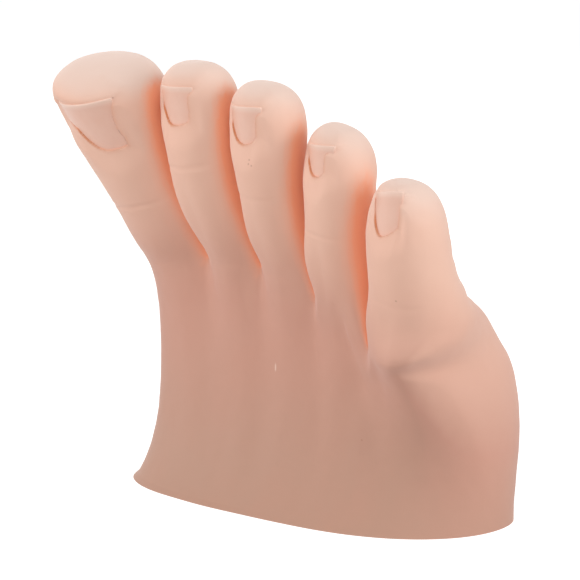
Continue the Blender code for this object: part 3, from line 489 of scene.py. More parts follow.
# Rounding of the cage: the coarse form looks for what shades it, and the fine one takes the creases
COARSE_LEVELS = 3
FINE_LEVELS = 1

# Knuckles: the first one's height above the web, the second one's place along the rest of the toe, and
# how far to either side of a knuckle the skin bends
ROOT_KNUCKLE_RISE = 0.0072
TIP_KNUCKLE_SHARE = 0.44
BEND_REACH = 0.0060
BEND_ROOM_SHARE = 0.80

# Nails: sizes that all share, and their rounding
NAIL_THICKNESS = 0.0008
NAIL_TAIL = 0.0028
NAIL_BEND_SHARE = 0.84
NAIL_CORNER_SHARE = 0.35
NAIL_TAIL_ROUND_SHARE = 0.92
NAIL_FREE_EDGE_SHARE = 0.14


def rise(low, high, value):
    """0 at low, 1 at high, and a smooth slope between them; low may be the larger."""
    share = np.clip((value - low) / (high - low), 0.0, 1.0)
    return share * share * (3.0 - 2.0 * share)


def hump(value, width):
    """A rounded hump, 1 high at zero and nearly gone at twice its width."""
    return np.exp(-((value / width) ** 2))


def unit(vector):
    return np.array(vector, dtype=float) / np.linalg.norm(vector)


def root_share(toe):
    return ROOT_KNUCKLE_RISE / toe.length


def tip_share(toe):
    return root_share(toe) + (1.0 - root_share(toe)) * TIP_KNUCKLE_SHARE


def cut_share(index):
    """Where a toe's skin is cut in two: the ring of fine faces nearest to halfway between its knuckles."""
    toe = TOES[index]
    wanted = (root_share(toe) + tip_share(toe)) / 2
    shares = [0.0] + [row[0] for row in ring_shares(index)]
    pieces = 2 ** (COARSE_LEVELS + FINE_LEVELS)
    rings = [
        low + (high - low) * step / pieces
        for low, high in zip(shares, shares[1:])
        for step in range(pieces)
    ]
    return min(rings, key=lambda ring: abs(ring - wanted))


# The whole skin as numbers: its points, faces, normals and what each vertex knows


def select_only(item):
    bpy.ops.object.select_all(action="DESELECT")
    item.select_set(True)
    bpy.context.view_layer.objects.active = item


def round_off(item, levels):
    """Rounds a cage with a subdivision surface, and applies it."""
    select_only(item)
    rounding = item.modifiers.new("rounding", "SUBSURF")
    rounding.levels = levels
    rounding.render_levels = levels
    rounding.use_limit_surface = False
    bpy.ops.object.modifier_apply(modifier="rounding")


def new_object(name, mesh):
    item = bpy.data.objects.new(name, mesh)
    bpy.context.scene.collection.objects.link(item)
    return item


def points_of(mesh):
    points = np.empty(len(mesh.vertices) * 3)
    mesh.vertices.foreach_get("co", points)
    return points.reshape(-1, 3)


def corner_rows(mesh):
    """The vertices of each face, four to a row."""
    rows = np.empty(len(mesh.loops), dtype=np.int32)
    mesh.loops.foreach_get("vertex_index", rows)
    return rows.reshape(-1, 4)


# Least length that a sum of normals is divided by, and how far from the ground a level face may lie
LEAST_NORMAL = 1e-12
LEVEL_WITHIN = 1e-6


def face_normals(points, faces):
    """A normal for each face, as long as twice the face's area."""
    return np.cross(points[faces[:, 2]] - points[faces[:, 0]], points[faces[:, 3]] - points[faces[:, 1]])


def vertex_normals(points, faces):
    """Normals of a smooth surface over these faces."""
    own = face_normals(points, faces)
    total = np.zeros_like(points)
    for corner in range(faces.shape[1]):
        for axis in range(3):
            total[:, axis] += np.bincount(faces[:, corner], own[:, axis], len(points))
    return total / np.maximum(np.linalg.norm(total, axis=1), LEAST_NORMAL)[:, None]


# Rays that find how deep each vertex lies in a crevice, for the shade painted there, and how far they look
SHADE_RAYS = 28
SHADE_REACH = 0.022
SHADE_LIFT = 0.0002
# A direction that no normal of the skin has, to turn the rays' fan from
SKEW_WAY = (0.267, 0.535, 0.802)


def ray_fan(count):
    """Directions over a half sphere about +Z, closer together near the top, as light falls."""
    golden = math.pi * (3.0 - math.sqrt(5.0))
    rays = []
    for ray in range(count):
        out = math.sqrt((ray + 0.5) / count)
        rays.append((out * math.cos(golden * ray), out * math.sin(golden * ray), math.sqrt(1.0 - out * out)))
    return np.array(rays)


def crevices(mesh):
    """How closed in each vertex is, from 0 in the open to 1 deep between two toes."""
    points = points_of(mesh)
    normals = vertex_normals(points, corner_rows(mesh))
    tree = BVHTree.FromPolygons(points.tolist(), corner_rows(mesh).tolist())
    fan = ray_fan(SHADE_RAYS)
    side = np.cross(normals, SKEW_WAY)
    side /= np.linalg.norm(side, axis=1)[:, None]
    other = np.cross(normals, side)
    starts = points + normals * SHADE_LIFT
    closed = np.zeros(len(points))
    for ray in fan:
        ways = side * ray[0] + other * ray[1] + normals * ray[2]
        for vertex, (start, way) in enumerate(zip(starts.tolist(), ways.tolist())):
            far = tree.ray_cast(start, way, SHADE_REACH)[3]
            if far is not None:
                closed[vertex] += 1.0 - far / SHADE_REACH
    return closed / len(fan)


class Skin:
    """The skin's points and faces, with each vertex's place on its toe, how deep it lies in a crevice, and the
    painted light and shade on it.
    """

    def __init__(self, item):
        mesh = item.data
        self.points = points_of(mesh)
        self.faces = corner_rows(mesh)
        self.toe_of_face = np.empty(len(self.faces), dtype=np.int32)
        mesh.polygons.foreach_get("material_index", self.toe_of_face)
        self.along = np.empty(len(self.points), dtype=np.float32)
        mesh.attributes["along"].data.foreach_get("value", self.along)
        self.crevice = np.empty(len(self.points), dtype=np.float32)
        mesh.attributes["crevice"].data.foreach_get("value", self.crevice)
        self.toe = np.zeros(len(self.points), dtype=np.int32)
        for corner in range(4):
            np.maximum.at(self.toe, self.faces[:, corner], self.toe_of_face)
        self.cut_face = self.find_cut_face()
        self.groove = np.zeros(len(self.points))
        self.pale = np.zeros(len(self.points))
        self.thin = np.zeros(len(self.points))
        self.refresh()

    def find_cut_face(self):
        """The flat faces that the foot stands on."""
        own = face_normals(self.points, self.faces)
        level = np.abs(self.points[self.faces][:, :, 2]).max(axis=1) < LEVEL_WITHIN
        return level & (own[:, 2] < 0)

    def refresh(self):
        self.normals = vertex_normals(self.points, self.faces[~self.cut_face])

    def push(self, amount):
        """Moves every vertex out along its normal by its own amount."""
        self.points += self.normals * amount[:, None]
        self.refresh()


def foot_skin():
    """The rounded skin, before its creases and nail slots."""
    shape = skin_cage()
    mesh = bpy.data.meshes.new("skin_form")
    shape.to_mesh(mesh)
    shape.free()
    item = new_object("skin_form", mesh)
    round_off(item, COARSE_LEVELS)
    # How closed in each vertex is, kept to paint shade into the crevices
    depth = crevices(item.data)
    item.data.attributes.new("crevice", "FLOAT", "POINT").data.foreach_set("value", depth.astype(np.float32))
    round_off(item, FINE_LEVELS)
    skin = Skin(item)
    bpy.data.objects.remove(item)
    return skin


# Sculpted relief. Depths and widths are real sizes, and a facing is a span of normals over which a form
# fades in


def lumpy(points, size, seed):
    """Soft random lumps from -1 to 1, about this size across."""
    offset = Vector((seed, 2.0 * seed, 3.0 * seed))
    return np.array([noise.noise(Vector(point) / size + offset) for point in points.tolist()])


def spine_places(skin, index):
    """Which vertices are a toe's, how high each lies on its spine, and how far it faces pad and side."""
    toe = TOES[index]
    mine = skin.toe == index + 1
    across = np.array(side_axis(index))
    pad = np.array(spine_frame(index, 0.5).col[1].xyz)
    facing = skin.normals @ pad
    aside = skin.normals @ across
    return mine, skin.along * toe.length, facing, aside


# Creases across each toe: share along the toe, depth and half width, on the nails' side and under the pad
NAIL_SIDE_CREASES = (
    ((0.345, 0.00016, 0.00040),),
    ((0.535, 0.00014, 0.00040),),
    ((0.455, 0.00013, 0.00040),),
    ((0.420, 0.00012, 0.00040),),
    ((0.330, 0.00008, 0.00045),),
)
PAD_SIDE_CREASES = (
    ((0.10, 0.0010, 0.0016), (0.50, 0.0009, 0.0014)),
    ((0.08, 0.0010, 0.0015), (0.42, 0.0006, 0.0012), (0.66, 0.0005, 0.0012)),
    ((0.08, 0.0010, 0.0015), (0.42, 0.0006, 0.0012), (0.66, 0.0005, 0.0012)),
    ((0.08, 0.0010, 0.0015), (0.42, 0.0006, 0.0012), (0.66, 0.0005, 0.0012)),
    ((0.10, 0.0009, 0.0015), (0.52, 0.0006, 0.0012)),
)
CREASE_WANDER = 0.0010
CREASE_RIM_SHARE = 0.22
CREASE_RIM_PLACE = 2.4
CREASE_FACING = (0.45, 0.90)


def press_creases(skin, wander):
    """Skin folds across the toes: fine ones over the knuckles, deeper ones under the pads."""
    amount = np.zeros(len(skin.points))
    for index, toe in enumerate(TOES):
        mine, height, facing, aside = spine_places(skin, index)
        for rows, way in ((NAIL_SIDE_CREASES[index], -1.0), (PAD_SIDE_CREASES[index], 1.0)):
            reach = rise(*CREASE_FACING, facing * way)
            for share, depth, width in rows:
                place = height - share * toe.length + wander * CREASE_WANDER + aside**2 * CREASE_WANDER
                rim = CREASE_RIM_PLACE * width
                rims = hump(place - rim, width) + hump(place + rim, width)
                fold = hump(place, width) - CREASE_RIM_SHARE * rims
                amount -= np.where(mine, fold * depth * reach, 0.0)
    skin.push(amount)


# The dorsum: valleys that run down from the webs, and the cords that raise the skin between them
VALLEY_DEPTH = 0.0006
VALLEY_WIDTH = 0.0040
VALLEY_LENGTH = 0.0230
CORD_HEIGHT = 0.00022
CORD_WIDTH = 0.0036
CORD_GATHER_SHARE = 0.62
CORD_FADE_SHARES = (0.22, 0.72)
DORSUM_FACING = (0.1, 0.7)


def shape_dorsum(skin):
    """Valleys and cords on the nails' side of the forefoot."""
    x, z = skin.points[:, 0], skin.points[:, 2]
    nail_side = rise(*DORSUM_FACING, -skin.normals[:, 1]) * (skin.toe == 0)
    amount = np.zeros(len(skin.points))
    for index, toe in enumerate(TOES):
        down = np.clip((toe.root_height - z) / toe.root_height, 0.0, 1.0)
        gather = 1.0 - (1.0 - CORD_GATHER_SHARE) * down
        cord = x - ROOT_CENTRES[index] * gather
        fade = rise(0.0, CORD_FADE_SHARES[0], down) * rise(1.0, CORD_FADE_SHARES[1], down)
        amount += CORD_HEIGHT * hump(cord, CORD_WIDTH) * fade
        if index + 1 < len(TOES):
            middle = (ROOT_CENTRES[index] + toe.root_width / 2 + WEB_WIDTH / 2) * gather
            top = min(toe.root_height, TOES[index + 1].root_height) - toe.web_drop
            depth = rise(top - VALLEY_LENGTH, top, z) * rise(top, top - 2.0 * VALLEY_WIDTH, z)
            amount -= VALLEY_DEPTH * hump(x - middle, VALLEY_WIDTH) * depth
    skin.push(amount * nail_side)


SOLE_FOLD_DROP = 0.0050
SOLE_FOLD_DEPTH = 0.0012
SOLE_FOLD_WIDTH = 0.0042
SOLE_SPLIT_DEPTH = 0.0008
SOLE_SPLIT_WIDTH = 0.0050
SOLE_SPLIT_PLACE = -0.0170
SOLE_SPLIT_FOOT = (0.020, 0.040)
SOLE_SPLIT_FADE = 0.012
SOLE_FACING = (0.2, 0.8)


def shape_sole(skin):
    """The fold under the toes and the soft split between the balls, on the sole's side."""
    x, z = skin.points[:, 0], skin.points[:, 2]
    sole_side = rise(*SOLE_FACING, skin.normals[:, 1]) * (skin.toe == 0)
    line = np.interp(x, ROOT_CENTRES, ROOT_HEIGHTS) - SOLE_FOLD_DROP
    amount = -SOLE_FOLD_DEPTH * hump(z - line, SOLE_FOLD_WIDTH)
    split = hump(x - SOLE_SPLIT_PLACE, SOLE_SPLIT_WIDTH) * rise(*SOLE_SPLIT_FOOT, z)
    split *= rise(line, line - SOLE_SPLIT_FADE, z)
    amount -= SOLE_SPLIT_DEPTH * split
    skin.push(amount * sole_side)


# Waviness of a hand-poured cast: broad and fine lumps, and the lip that the mould leaves round the cut edge
BROAD_LUMP = 0.00014
BROAD_LUMP_SIZE = 0.014
FINE_LUMP = 0.00006
FINE_LUMP_SIZE = 0.0030
BROAD_LUMP_SEED = 1.0
FINE_LUMP_SEED = 5.0
LUMP_FOOT = 0.004
LIP_REACH = 0.0007
LIP_HEIGHT = 0.0011
LIP_FACING = (-0.2, 0.5)
LIP_ENDS = (0.020, -0.030)
LIP_EVEN_SHARE = 0.8
LIP_LUMP_SHARE = 0.5


def pour_waves(skin, broad):
    """The waves of a poured cast, which fade out at the cut face."""
    fine = lumpy(skin.points, FINE_LUMP_SIZE, FINE_LUMP_SEED)
    standing = rise(0.0, LUMP_FOOT, skin.points[:, 2])
    skin.push((broad * BROAD_LUMP + fine * FINE_LUMP) * standing)


def raise_lip(skin, broad):
    """A thin lip of silicone along the cut edge on the nails' side, thickest at the big toe's end."""
    x, z = skin.points[:, 0], skin.points[:, 2]
    rim = np.zeros(len(skin.points), dtype=bool)
    rim[np.unique(skin.faces[~skin.cut_face])] = True
    nail_side = rise(*LIP_FACING, -skin.normals[:, 1]) * rise(*LIP_ENDS, x)
    out = LIP_REACH * (LIP_EVEN_SHARE + LIP_LUMP_SHARE * broad) * rise(LIP_HEIGHT, 0.0, z) * nail_side * rim
    flat = skin.normals * (1.0, 1.0, 0.0)
    skin.points += flat * out[:, None]
    skin.refresh()


# The ridge that carries the little toe down over the dorsum: its middle, and its reach to each side, down
# and up
ROOT_RIDGE_PLACE = (0.0385, 0.0345)
ROOT_RIDGE_LEFT = 0.0092
ROOT_RIDGE_RIGHT = 0.0130
ROOT_RIDGE_DOWN = 0.0165
ROOT_RIDGE_UP = 0.0098
ROOT_RIDGE_HEIGHT = 0.0072
ROOT_RIDGE_FACING = (0.0, 0.6)


def fill_under_little_toe(skin):
    """Carries the dorsum smoothly out to the little toe, which stands well forward of it."""
    aside = skin.points[:, 0] - ROOT_RIDGE_PLACE[0]
    aside = aside / np.where(aside < 0.0, ROOT_RIDGE_LEFT, ROOT_RIDGE_RIGHT)
    height = skin.points[:, 2] - ROOT_RIDGE_PLACE[1]
    height = height / np.where(height < 0.0, ROOT_RIDGE_DOWN, ROOT_RIDGE_UP)
    nail_side = rise(*ROOT_RIDGE_FACING, -skin.normals[:, 1])
    skin.points[:, 1] -= ROOT_RIDGE_HEIGHT * hump(aside, 1.0) * hump(height, 1.0) * nail_side
    skin.refresh()


# How full each toe's neck is at its front left: height of the fullest place, its reach up and down, and
# its depth
NECK_FULLNESS = (
    (0.0680, 0.0090, 0.0),
    (0.0680, 0.0090, 0.0017),
    (0.0640, 0.0075, 0.0015),
    (0.0600, 0.0080, 0.0020),
    (0.0485, 0.0060, 0.0015),
)
NECK_WAY = (-0.766, -0.643, 0.0)
NECK_SIDE_SHARE = 0.45
NECK_FACING = (0.68, 0.96)


def fill_necks(skin):
    """Fuller necks, each lapping a little over the toe to its left."""
    facing = rise(*NECK_FACING, skin.normals @ np.array(NECK_WAY))
    for centre, toe, (place, size, depth) in zip(ROOT_CENTRES, TOES, NECK_FULLNESS):
        reach = NECK_SIDE_SHARE * toe.root_width
        aside = hump(skin.points[:, 0] - centre + reach, reach)
        amount = depth * hump(skin.points[:, 2] - place, size) * aside * facing
        skin.points += np.outer(amount, NECK_WAY)
    skin.refresh()


class NailPlace(NamedTuple):
    """Where a nail lies in the frame: its crown, at the middle of the free edge, and its directions."""

    crown: np.ndarray
    across: np.ndarray
    inward: np.ndarray
    along: np.ndarray

    def ways(self):
        return np.array((self.across, self.inward, self.along))

    def local(self, points):
        """Points as (across, inward, along) from the crown."""
        return (points - self.crown) @ self.ways().T

    def world(self, places):
        return self.crown + places @ self.ways()


def joint(name):
    return next(row for row in frame["joints"] if row["name"] == name)


def nail_place(index):
    """Reads a nail's place from its solid and from the way it slides."""
    toe = TOES[index]
    along = unit(joint(toe.name + "_nail_slide")["axis"])
    turn = Matrix.Rotation(math.radians(-toe.nail_turn), 3, "Z")
    end = toe.nail_place + toe.nail_length / 2 / toe.length
    across = np.array(spine_frame(index, end).to_3x3() @ turn @ Vector((1.0, 0.0, 0.0)))
    across = unit(across - along * (across @ along))
    inward = np.cross(along, across)
    solid = points_of(frame["nodes"][toe.name + "_nail"].data)
    spans = [solid @ way for way in (across, inward, along)]
    middle = (spans[0].min() + spans[0].max()) / 2
    crown = across * middle + inward * spans[1].min() + along * spans[2].max()
    return NailPlace(crown, across, inward, along)


def plate_bend(toe, aside):
    """How far a bent nail falls away from its crown at a place across it."""
    bend = toe.nail_width * NAIL_BEND_SHARE
    return bend - np.sqrt(np.maximum(bend**2 - aside**2, 0.0))


def plate_rounding(toe, share):
    """How far a nail's end falls back from its middle, at a place from -1 to 1 across it."""
    hollow = 1.0 - np.minimum(share**2, 1.0) * NAIL_TAIL_ROUND_SHARE
    return toe.nail_width * NAIL_CORNER_SHARE * (1.0 - np.sqrt(hollow))


# Opening of each nail's slot between the folds of skin. Places along it are shares of the nail's length
# back from its free edge, and the openings are shares of half its width; a root line runs from the left
# of the nail to its right
SLOT_PLACE_SHARES = (-1.0, -0.8, -0.6, -0.4, -0.25, -0.15, -0.05, 0.05, 0.3)
LEFT_FOLD_SHARES = (
    (0.87, 0.89, 0.92, 0.94, 0.95, 0.95, 0.95, 0.95, 0.95),
    (0.84, 0.86, 0.89, 0.91, 0.92, 0.92, 0.92, 0.92, 0.92),
    (0.84, 0.86, 0.89, 0.91, 0.92, 0.92, 0.92, 0.92, 0.92),
    (0.84, 0.86, 0.89, 0.91, 0.92, 0.92, 0.92, 0.92, 0.92),
    (0.44, 0.50, 0.64, 0.80, 0.90, 0.94, 0.95, 0.95, 0.95),
)
RIGHT_FOLD_SHARES = (
    (0.85, 0.86, 0.81, 0.85, 0.91, 0.97, 0.98, 0.98, 0.98),
    (0.70, 0.74, 0.78, 0.78, 0.82, 0.93, 0.97, 0.97, 0.97),
    (0.70, 0.71, 0.73, 0.75, 0.79, 0.92, 0.97, 0.97, 0.97),
    (0.48, 0.49, 0.51, 0.53, 0.56, 0.69, 0.86, 0.96, 0.97),
    (0.84, 0.88, 0.94, 0.96, 0.96, 0.95, 0.94, 0.93, 0.92),
)
ROOT_PLACE_SHARES = (-1.0, -0.75, -0.5, -0.25, 0.0, 0.25, 0.5, 0.75, 1.0)
ROOT_LINE_SHARES = (
    (-0.42, -0.45, -0.52, -0.74, -0.89, -0.96, -0.97, -0.96, -0.94),
    (-0.40, -0.66, -0.90, -0.97, -0.97, -0.96, -0.92, -0.85, -0.80),
    (-0.45, -0.74, -0.90, -0.97, -1.00, -0.98, -0.92, -0.75, -0.60),
    (-0.30, -0.60, -0.85, -0.95, -0.96, -0.92, -0.76, -0.60, -0.50),
    (-0.30, -0.52, -0.72, -0.85, -0.90, -0.87, -0.81, -0.73, -0.60),
)
# How nearly level the skin lies with each nail, to the left of its free part
LEVEL_SHARES = (1.0, 0.9, 0.9, 0.9, 0.3)
# How far each free edge reaches past the end of its solid
FREE_EDGE_REACH_SHARES = (0.0, 0.0, 0.0, 0.0, 0.10)
# How far each free edge is trimmed aslant, forward to the right, as a share of the place across the nail
FREE_EDGE_SLANT_SHARES = (0.0, 0.0, 0.06, 0.14, 0.24)
# A slot's wall: half its thickness, from how many fine faces away the skin is drawn to it, and how strongly
SLOT_WALL = 0.00008
SLOT_DRAW = 2.0
SLOT_DRAW_POWER = 5.0
TRACE_STEP = 1e-5
LEAST_SLOPE = 1e-6
# The slot's bed, and how far the pulp is tucked under the free edge
BED_ROOM = 0.00012
FREE_EDGE_TUCK = 0.0005
# The part of a toe that a slot shapes: how far it faces the nail, and its ends as shares of the nail's
# length
SLOT_FACING = -0.12
SLOT_END_SHARES = (-1.1, 0.6)
# Where a nail's left side, its root and the pulp ahead of it begin, as shares of half its width and of
# its length
LEFT_SIDE_SHARES = (0.3, -0.6)
BEHIND_SHARES = (-0.40, -0.62)
AHEAD_SHARES = (-0.20, -0.02)
# The skin beside a nail: its height above the plate, how far out it blends, and its slope beyond the plate
FOLD_ABOVE = 0.00042
FOLD_BLEND = 0.0065
BESIDE_SLOPE = 0.60
BESIDE_REACH_SHARES = (1.8, 1.1)
# The pulp ahead of a nail: how far below the plate it meets it, how far out it blends, and its shade
PULP_DROP = 0.00022
PULP_BLEND = 0.0035
PULP_REACH_SHARES = (1.30, 0.95)
PULP_SHADE_SHARE = 0.13
PULP_SHADE_PLACE = 0.0012
PULP_SHADE_SIZE = 0.0016
# Painted shade in the groove round a nail, darkest at the left of its root
GROOVE_SHADE_WIDTH = 0.00045
GROOVE_SHADE_SHARE = 0.30


def free_edge_back(index, side):
    """How far back from the crown a nail's free edge lies at a place from -1 to 1 across it."""
    toe = TOES[index]
    slant = FREE_EDGE_SLANT_SHARES[index] * side * toe.nail_width / 2
    reach = FREE_EDGE_REACH_SHARES[index] * toe.nail_length
    return plate_rounding(toe, side) * NAIL_FREE_EDGE_SHARE - slant - reach


def slot_outside(index, aside, along):
    """How far a place in a nail's plane lies outside the opening between the folds; negative within it."""
    toe = TOES[index]
    share = along / toe.nail_length
    half = toe.nail_width / 2
    right = aside - half * np.interp(share, SLOT_PLACE_SHARES, RIGHT_FOLD_SHARES[index])
    left = -half * np.interp(share, SLOT_PLACE_SHARES, LEFT_FOLD_SHARES[index]) - aside
    side = np.clip(aside / half, -1.0, 1.0)
    root = toe.nail_length * np.interp(side, ROOT_PLACE_SHARES, ROOT_LINE_SHARES[index]) - along
    end = along + FREE_EDGE_TUCK + free_edge_back(index, side)
    return np.maximum(np.maximum(right, left), np.maximum(root, end))


def draw_to_wall(index, spot, ways):
    """Draws the vertices beside a slot's wall towards its top and its foot, so that both edges are crisp."""
    toe = TOES[index]
    aside, along = spot[:, 0], spot[:, 2]
    outside = slot_outside(index, aside, along)
    aside_slope = (slot_outside(index, aside + TRACE_STEP, along) - outside) / TRACE_STEP
    along_slope = (slot_outside(index, aside, along + TRACE_STEP) - outside) / TRACE_STEP
    slope = np.stack((aside_slope, along_slope), axis=1)
    cell = math.pi * (toe.width + toe.depth) / 2 / (RING_SIDES * 2 ** (COARSE_LEVELS + FINE_LEVELS))
    far = SLOT_DRAW * cell
    share = np.minimum(np.abs(outside) / far, 1.0)
    drawn = np.sign(outside) * (SLOT_WALL + (far - SLOT_WALL) * share**SLOT_DRAW_POWER)
    wanted = np.where(share < 1.0, drawn, outside)
    move = (wanted - outside)[:, None] * slope / np.maximum((slope**2).sum(axis=1), LEAST_SLOPE)[:, None]
    spot[:, 0] += move[:, 0]
    spot[:, 2] += move[:, 1]
    spot[:, 1] -= (move[:, 0] * ways[:, 0] + move[:, 1] * ways[:, 2]) / ways[:, 1]
    return wanted


def carve_slot(skin, index, place):
    """Sinks the bed of a nail into its toe, between folds of skin that come down to the nail."""
    toe = TOES[index]
    length, half = toe.nail_length, toe.nail_width / 2
    spot = place.local(skin.points)
    near = (skin.toe == index + 1) & (skin.normals @ place.inward < SLOT_FACING)
    near &= spot[:, 2] > SLOT_END_SHARES[0] * length - FOLD_BLEND
    near &= spot[:, 2] < SLOT_END_SHARES[1] * length
    near &= np.abs(spot[:, 0]) < half + FOLD_BLEND
    rows = np.nonzero(near)[0]
    spot = spot[rows]
    outside = draw_to_wall(index, spot, skin.normals[rows] @ place.ways().T)
    aside, depth, along = spot[:, 0], spot[:, 1], spot[:, 2]
    share = np.abs(aside) / half
    left = rise(*LEFT_SIDE_SHARES, aside / half)
    behind = rise(*(place_share * length for place_share in BEHIND_SHARES), along)
    ahead = rise(*(place_share * length for place_share in AHEAD_SHARES), along)
    plate = plate_bend(toe, np.minimum(np.abs(aside), half))
    bed = plate + NAIL_THICKNESS + BED_ROOM
    top = plate + BESIDE_SLOPE * np.maximum(np.abs(aside) - half, 0.0)
    # beside and behind the nail the skin comes down to just above the plate, and level with it at the front
    # left; ahead of it the skin meets the free edge a little below its face
    above = FOLD_ABOVE * (1.0 - LEVEL_SHARES[index] * left * (1.0 - behind))
    fall = rise(FOLD_BLEND, 0.0, outside) * rise(*BESIDE_REACH_SHARES, share)
    beside = depth + (np.maximum(depth, top - above) - depth) * fall
    reach = rise(*PULP_REACH_SHARES, share)
    before = depth + (top + PULP_DROP - depth) * rise(PULP_BLEND, 0.0, outside) * reach
    lowered = beside + (before - beside) * ahead
    spot[:, 1] = np.where(outside < 0, np.maximum(bed, depth), lowered)
    skin.points[rows] = place.world(spot)
    # Painted shade: in the groove round the nail, darkest at the left of its root, and a little on the pulp ahead
    # of the free edge
    darkness = GROOVE_SHADE_SHARE + (1.0 - GROOVE_SHADE_SHARE) * left * behind
    edge = hump(outside, GROOVE_SHADE_WIDTH) * darkness * (1.0 - ahead)
    shade = PULP_SHADE_SHARE * hump(outside - PULP_SHADE_PLACE, PULP_SHADE_SIZE) * ahead * reach
    skin.groove[rows] = np.maximum(skin.groove[rows], np.maximum(edge, shade))


# The toes are thin and let light through; below the webs the form is thick, most of all near the cut face. The
# thick tone is darker partly as painted shade, and painted light makes the outer side of the forefoot lighter
THIN_REACH = 0.0150
THICK_TOP = 0.0460
DORSUM_SHARE = 0.40
SIDE_LIGHT_SHARE = 0.60
SIDE_LIGHT_FACING = (0.25, 0.85)
# How much painted crevice shade the left wall of a toe keeps, beside its right one
LEFT_WALL_SHADE_SHARE = 0.12
RIGHT_WALL_SHADE_FACING = (-0.50, 0.15)
# Painted light: the toes are painted paler on what faces up, and a little on their sides
PAINTED_LIGHT_TOP_FACING = (-0.05, 0.95)
PAINTED_LIGHT_SIDE_FACING = (0.45, 0.95)
PAINTED_LIGHT_SIDE_SHARE = 0.12
PAINTED_LIGHT_REACH = 1.4 * THIN_REACH


def paint_light_shade_and_thickness(skin):
    """Painted light and shade, and thinness: where the skin is painted paler, how much painted crevice shade each
    wall keeps, and where it is thinner.
    """
    height, aside = skin.points[:, 2], skin.normals[:, 0]
    over_web = height - np.interp(skin.points[:, 0], ROOT_CENTRES, ROOT_HEIGHTS)
    pale = rise(*PAINTED_LIGHT_TOP_FACING, skin.normals[:, 2])
    pale = pale + PAINTED_LIGHT_SIDE_SHARE * rise(*PAINTED_LIGHT_SIDE_FACING, np.abs(aside))
    skin.pale = np.clip(pale, 0.0, 1.0) * rise(0.0, PAINTED_LIGHT_REACH, over_web)
    skin.crevice *= LEFT_WALL_SHADE_SHARE + (1.0 - LEFT_WALL_SHADE_SHARE) * rise(*RIGHT_WALL_SHADE_FACING, aside)
    above_web = rise(-THIN_REACH, THIN_REACH, over_web)
    painted_side_light = SIDE_LIGHT_SHARE * rise(*SIDE_LIGHT_FACING, aside) * rise(-THICK_TOP, THICK_TOP, height)
    toes = (1.0 - DORSUM_SHARE) * np.maximum(above_web, painted_side_light)
    skin.thin = DORSUM_SHARE * rise(0.0, THICK_TOP, height) + toes


def sculpt(skin):
    """All the relief, in the order in which it is laid on."""
    broad = lumpy(skin.points, BROAD_LUMP_SIZE, BROAD_LUMP_SEED)
    fill_under_little_toe(skin)
    fill_necks(skin)
    shape_dorsum(skin)
    shape_sole(skin)
    press_creases(skin, broad)
    pour_waves(skin, broad)
    raise_lip(skin, broad)
    # Painted light and shade, and the thin and thick tones
    paint_light_shade_and_thickness(skin)
    for index in range(len(TOES)):
        carve_slot(skin, index, nail_place(index))
    skin.refresh()


def cut_piece(skin, chosen, name):
    """A piece of the skin: the chosen faces, with the whole skin's normals, so that no seam shows."""
    rows = skin.faces[chosen]
    kept, packed = np.unique(rows, return_inverse=True)
    faces = packed.reshape(-1, 4)
    mesh = bpy.data.meshes.new(name)
    mesh.from_pydata(skin.points[kept].tolist(), [], faces.tolist())
    for label in ("crevice", "groove", "pale", "thin"):
        layer = mesh.attributes.new(label, "FLOAT", "POINT")
        layer.data.foreach_set("value", getattr(skin, label)[kept].astype(np.float32))
    mesh.polygons.foreach_set("use_smooth", [True] * len(faces))
    corners = skin.normals[rows]
    corners[skin.cut_face[chosen]] = (0.0, 0.0, -1.0)
    mesh.normals_split_custom_set(corners.reshape(-1, 3).tolist())
    mesh.update()
    return new_object(name, mesh)


def spine_point(index, share):
    return np.array(spine_frame(index, share).translation)


def bend_over(piece, index, hinge, near, far, bodies):
    """Bends a piece about a knuckle, within the room that it has to the cuts on either side of it."""
    way = np.array(spine_frame(index, hinge).col[2].xyz)
    middle = spine_point(index, hinge)
    length = TOES[index].length
    below = min(BEND_REACH, (hinge - near) * length * BEND_ROOM_SHARE)
    above = min(BEND_REACH, (far - hinge) * length * BEND_ROOM_SHARE)
    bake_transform(piece, bodies[0], bodies[1], start=tuple(middle - way * below), end=tuple(middle + way * above))


def skin_pieces(skin, silicone):
    """The forefoot's skin and two lengths of skin on each toe."""
    face_share = skin.along[skin.faces].mean(axis=1)
    forefoot = cut_piece(skin, skin.toe_of_face == 0, "forefoot_skin")
    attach(forefoot, "forefoot")
    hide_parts("silicone_forefoot")
    made = [forefoot]
    for index, toe in enumerate(TOES):
        cut = cut_share(index)
        mine = skin.toe_of_face == index + 1
        base = cut_piece(skin, mine & (face_share < cut), toe.name + "_base_skin")
        tip = cut_piece(skin, mine & (face_share >= cut), toe.name + "_tip_skin")
        root, second = root_share(toe), tip_share(toe)
        bend_over(base, index, root, 0.0, cut, ("forefoot", toe.name + "_lower"))
        bend_over(tip, index, second, cut, 1.0, (toe.name + "_lower", toe.name + "_upper"))
        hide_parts(toe.name + "_base")
        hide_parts(toe.name + "_tip")
        made += [base, tip]
    for piece in made:
        piece.data.materials.append(silicone)


# Practice nails: a finer plate in the place of each solid one. It flares and curls a little at its free edge,
# whose last band is paler, and has a rounded rim
PLATE_COLUMNS = 28
PLATE_ROWS = 30
FLARE_SHARE = 0.02
FLARE_LENGTH_SHARE = 0.16
FREE_EDGE_CURL = 0.00010
FREE_EDGE_BAND = 0.0018
PLATE_RIM = 0.00032
PLATE_RIM_STEPS = 3
PLATE_RIM_ANGLE = 50.0
PLATE_SMOOTH_ANGLE = 60.0


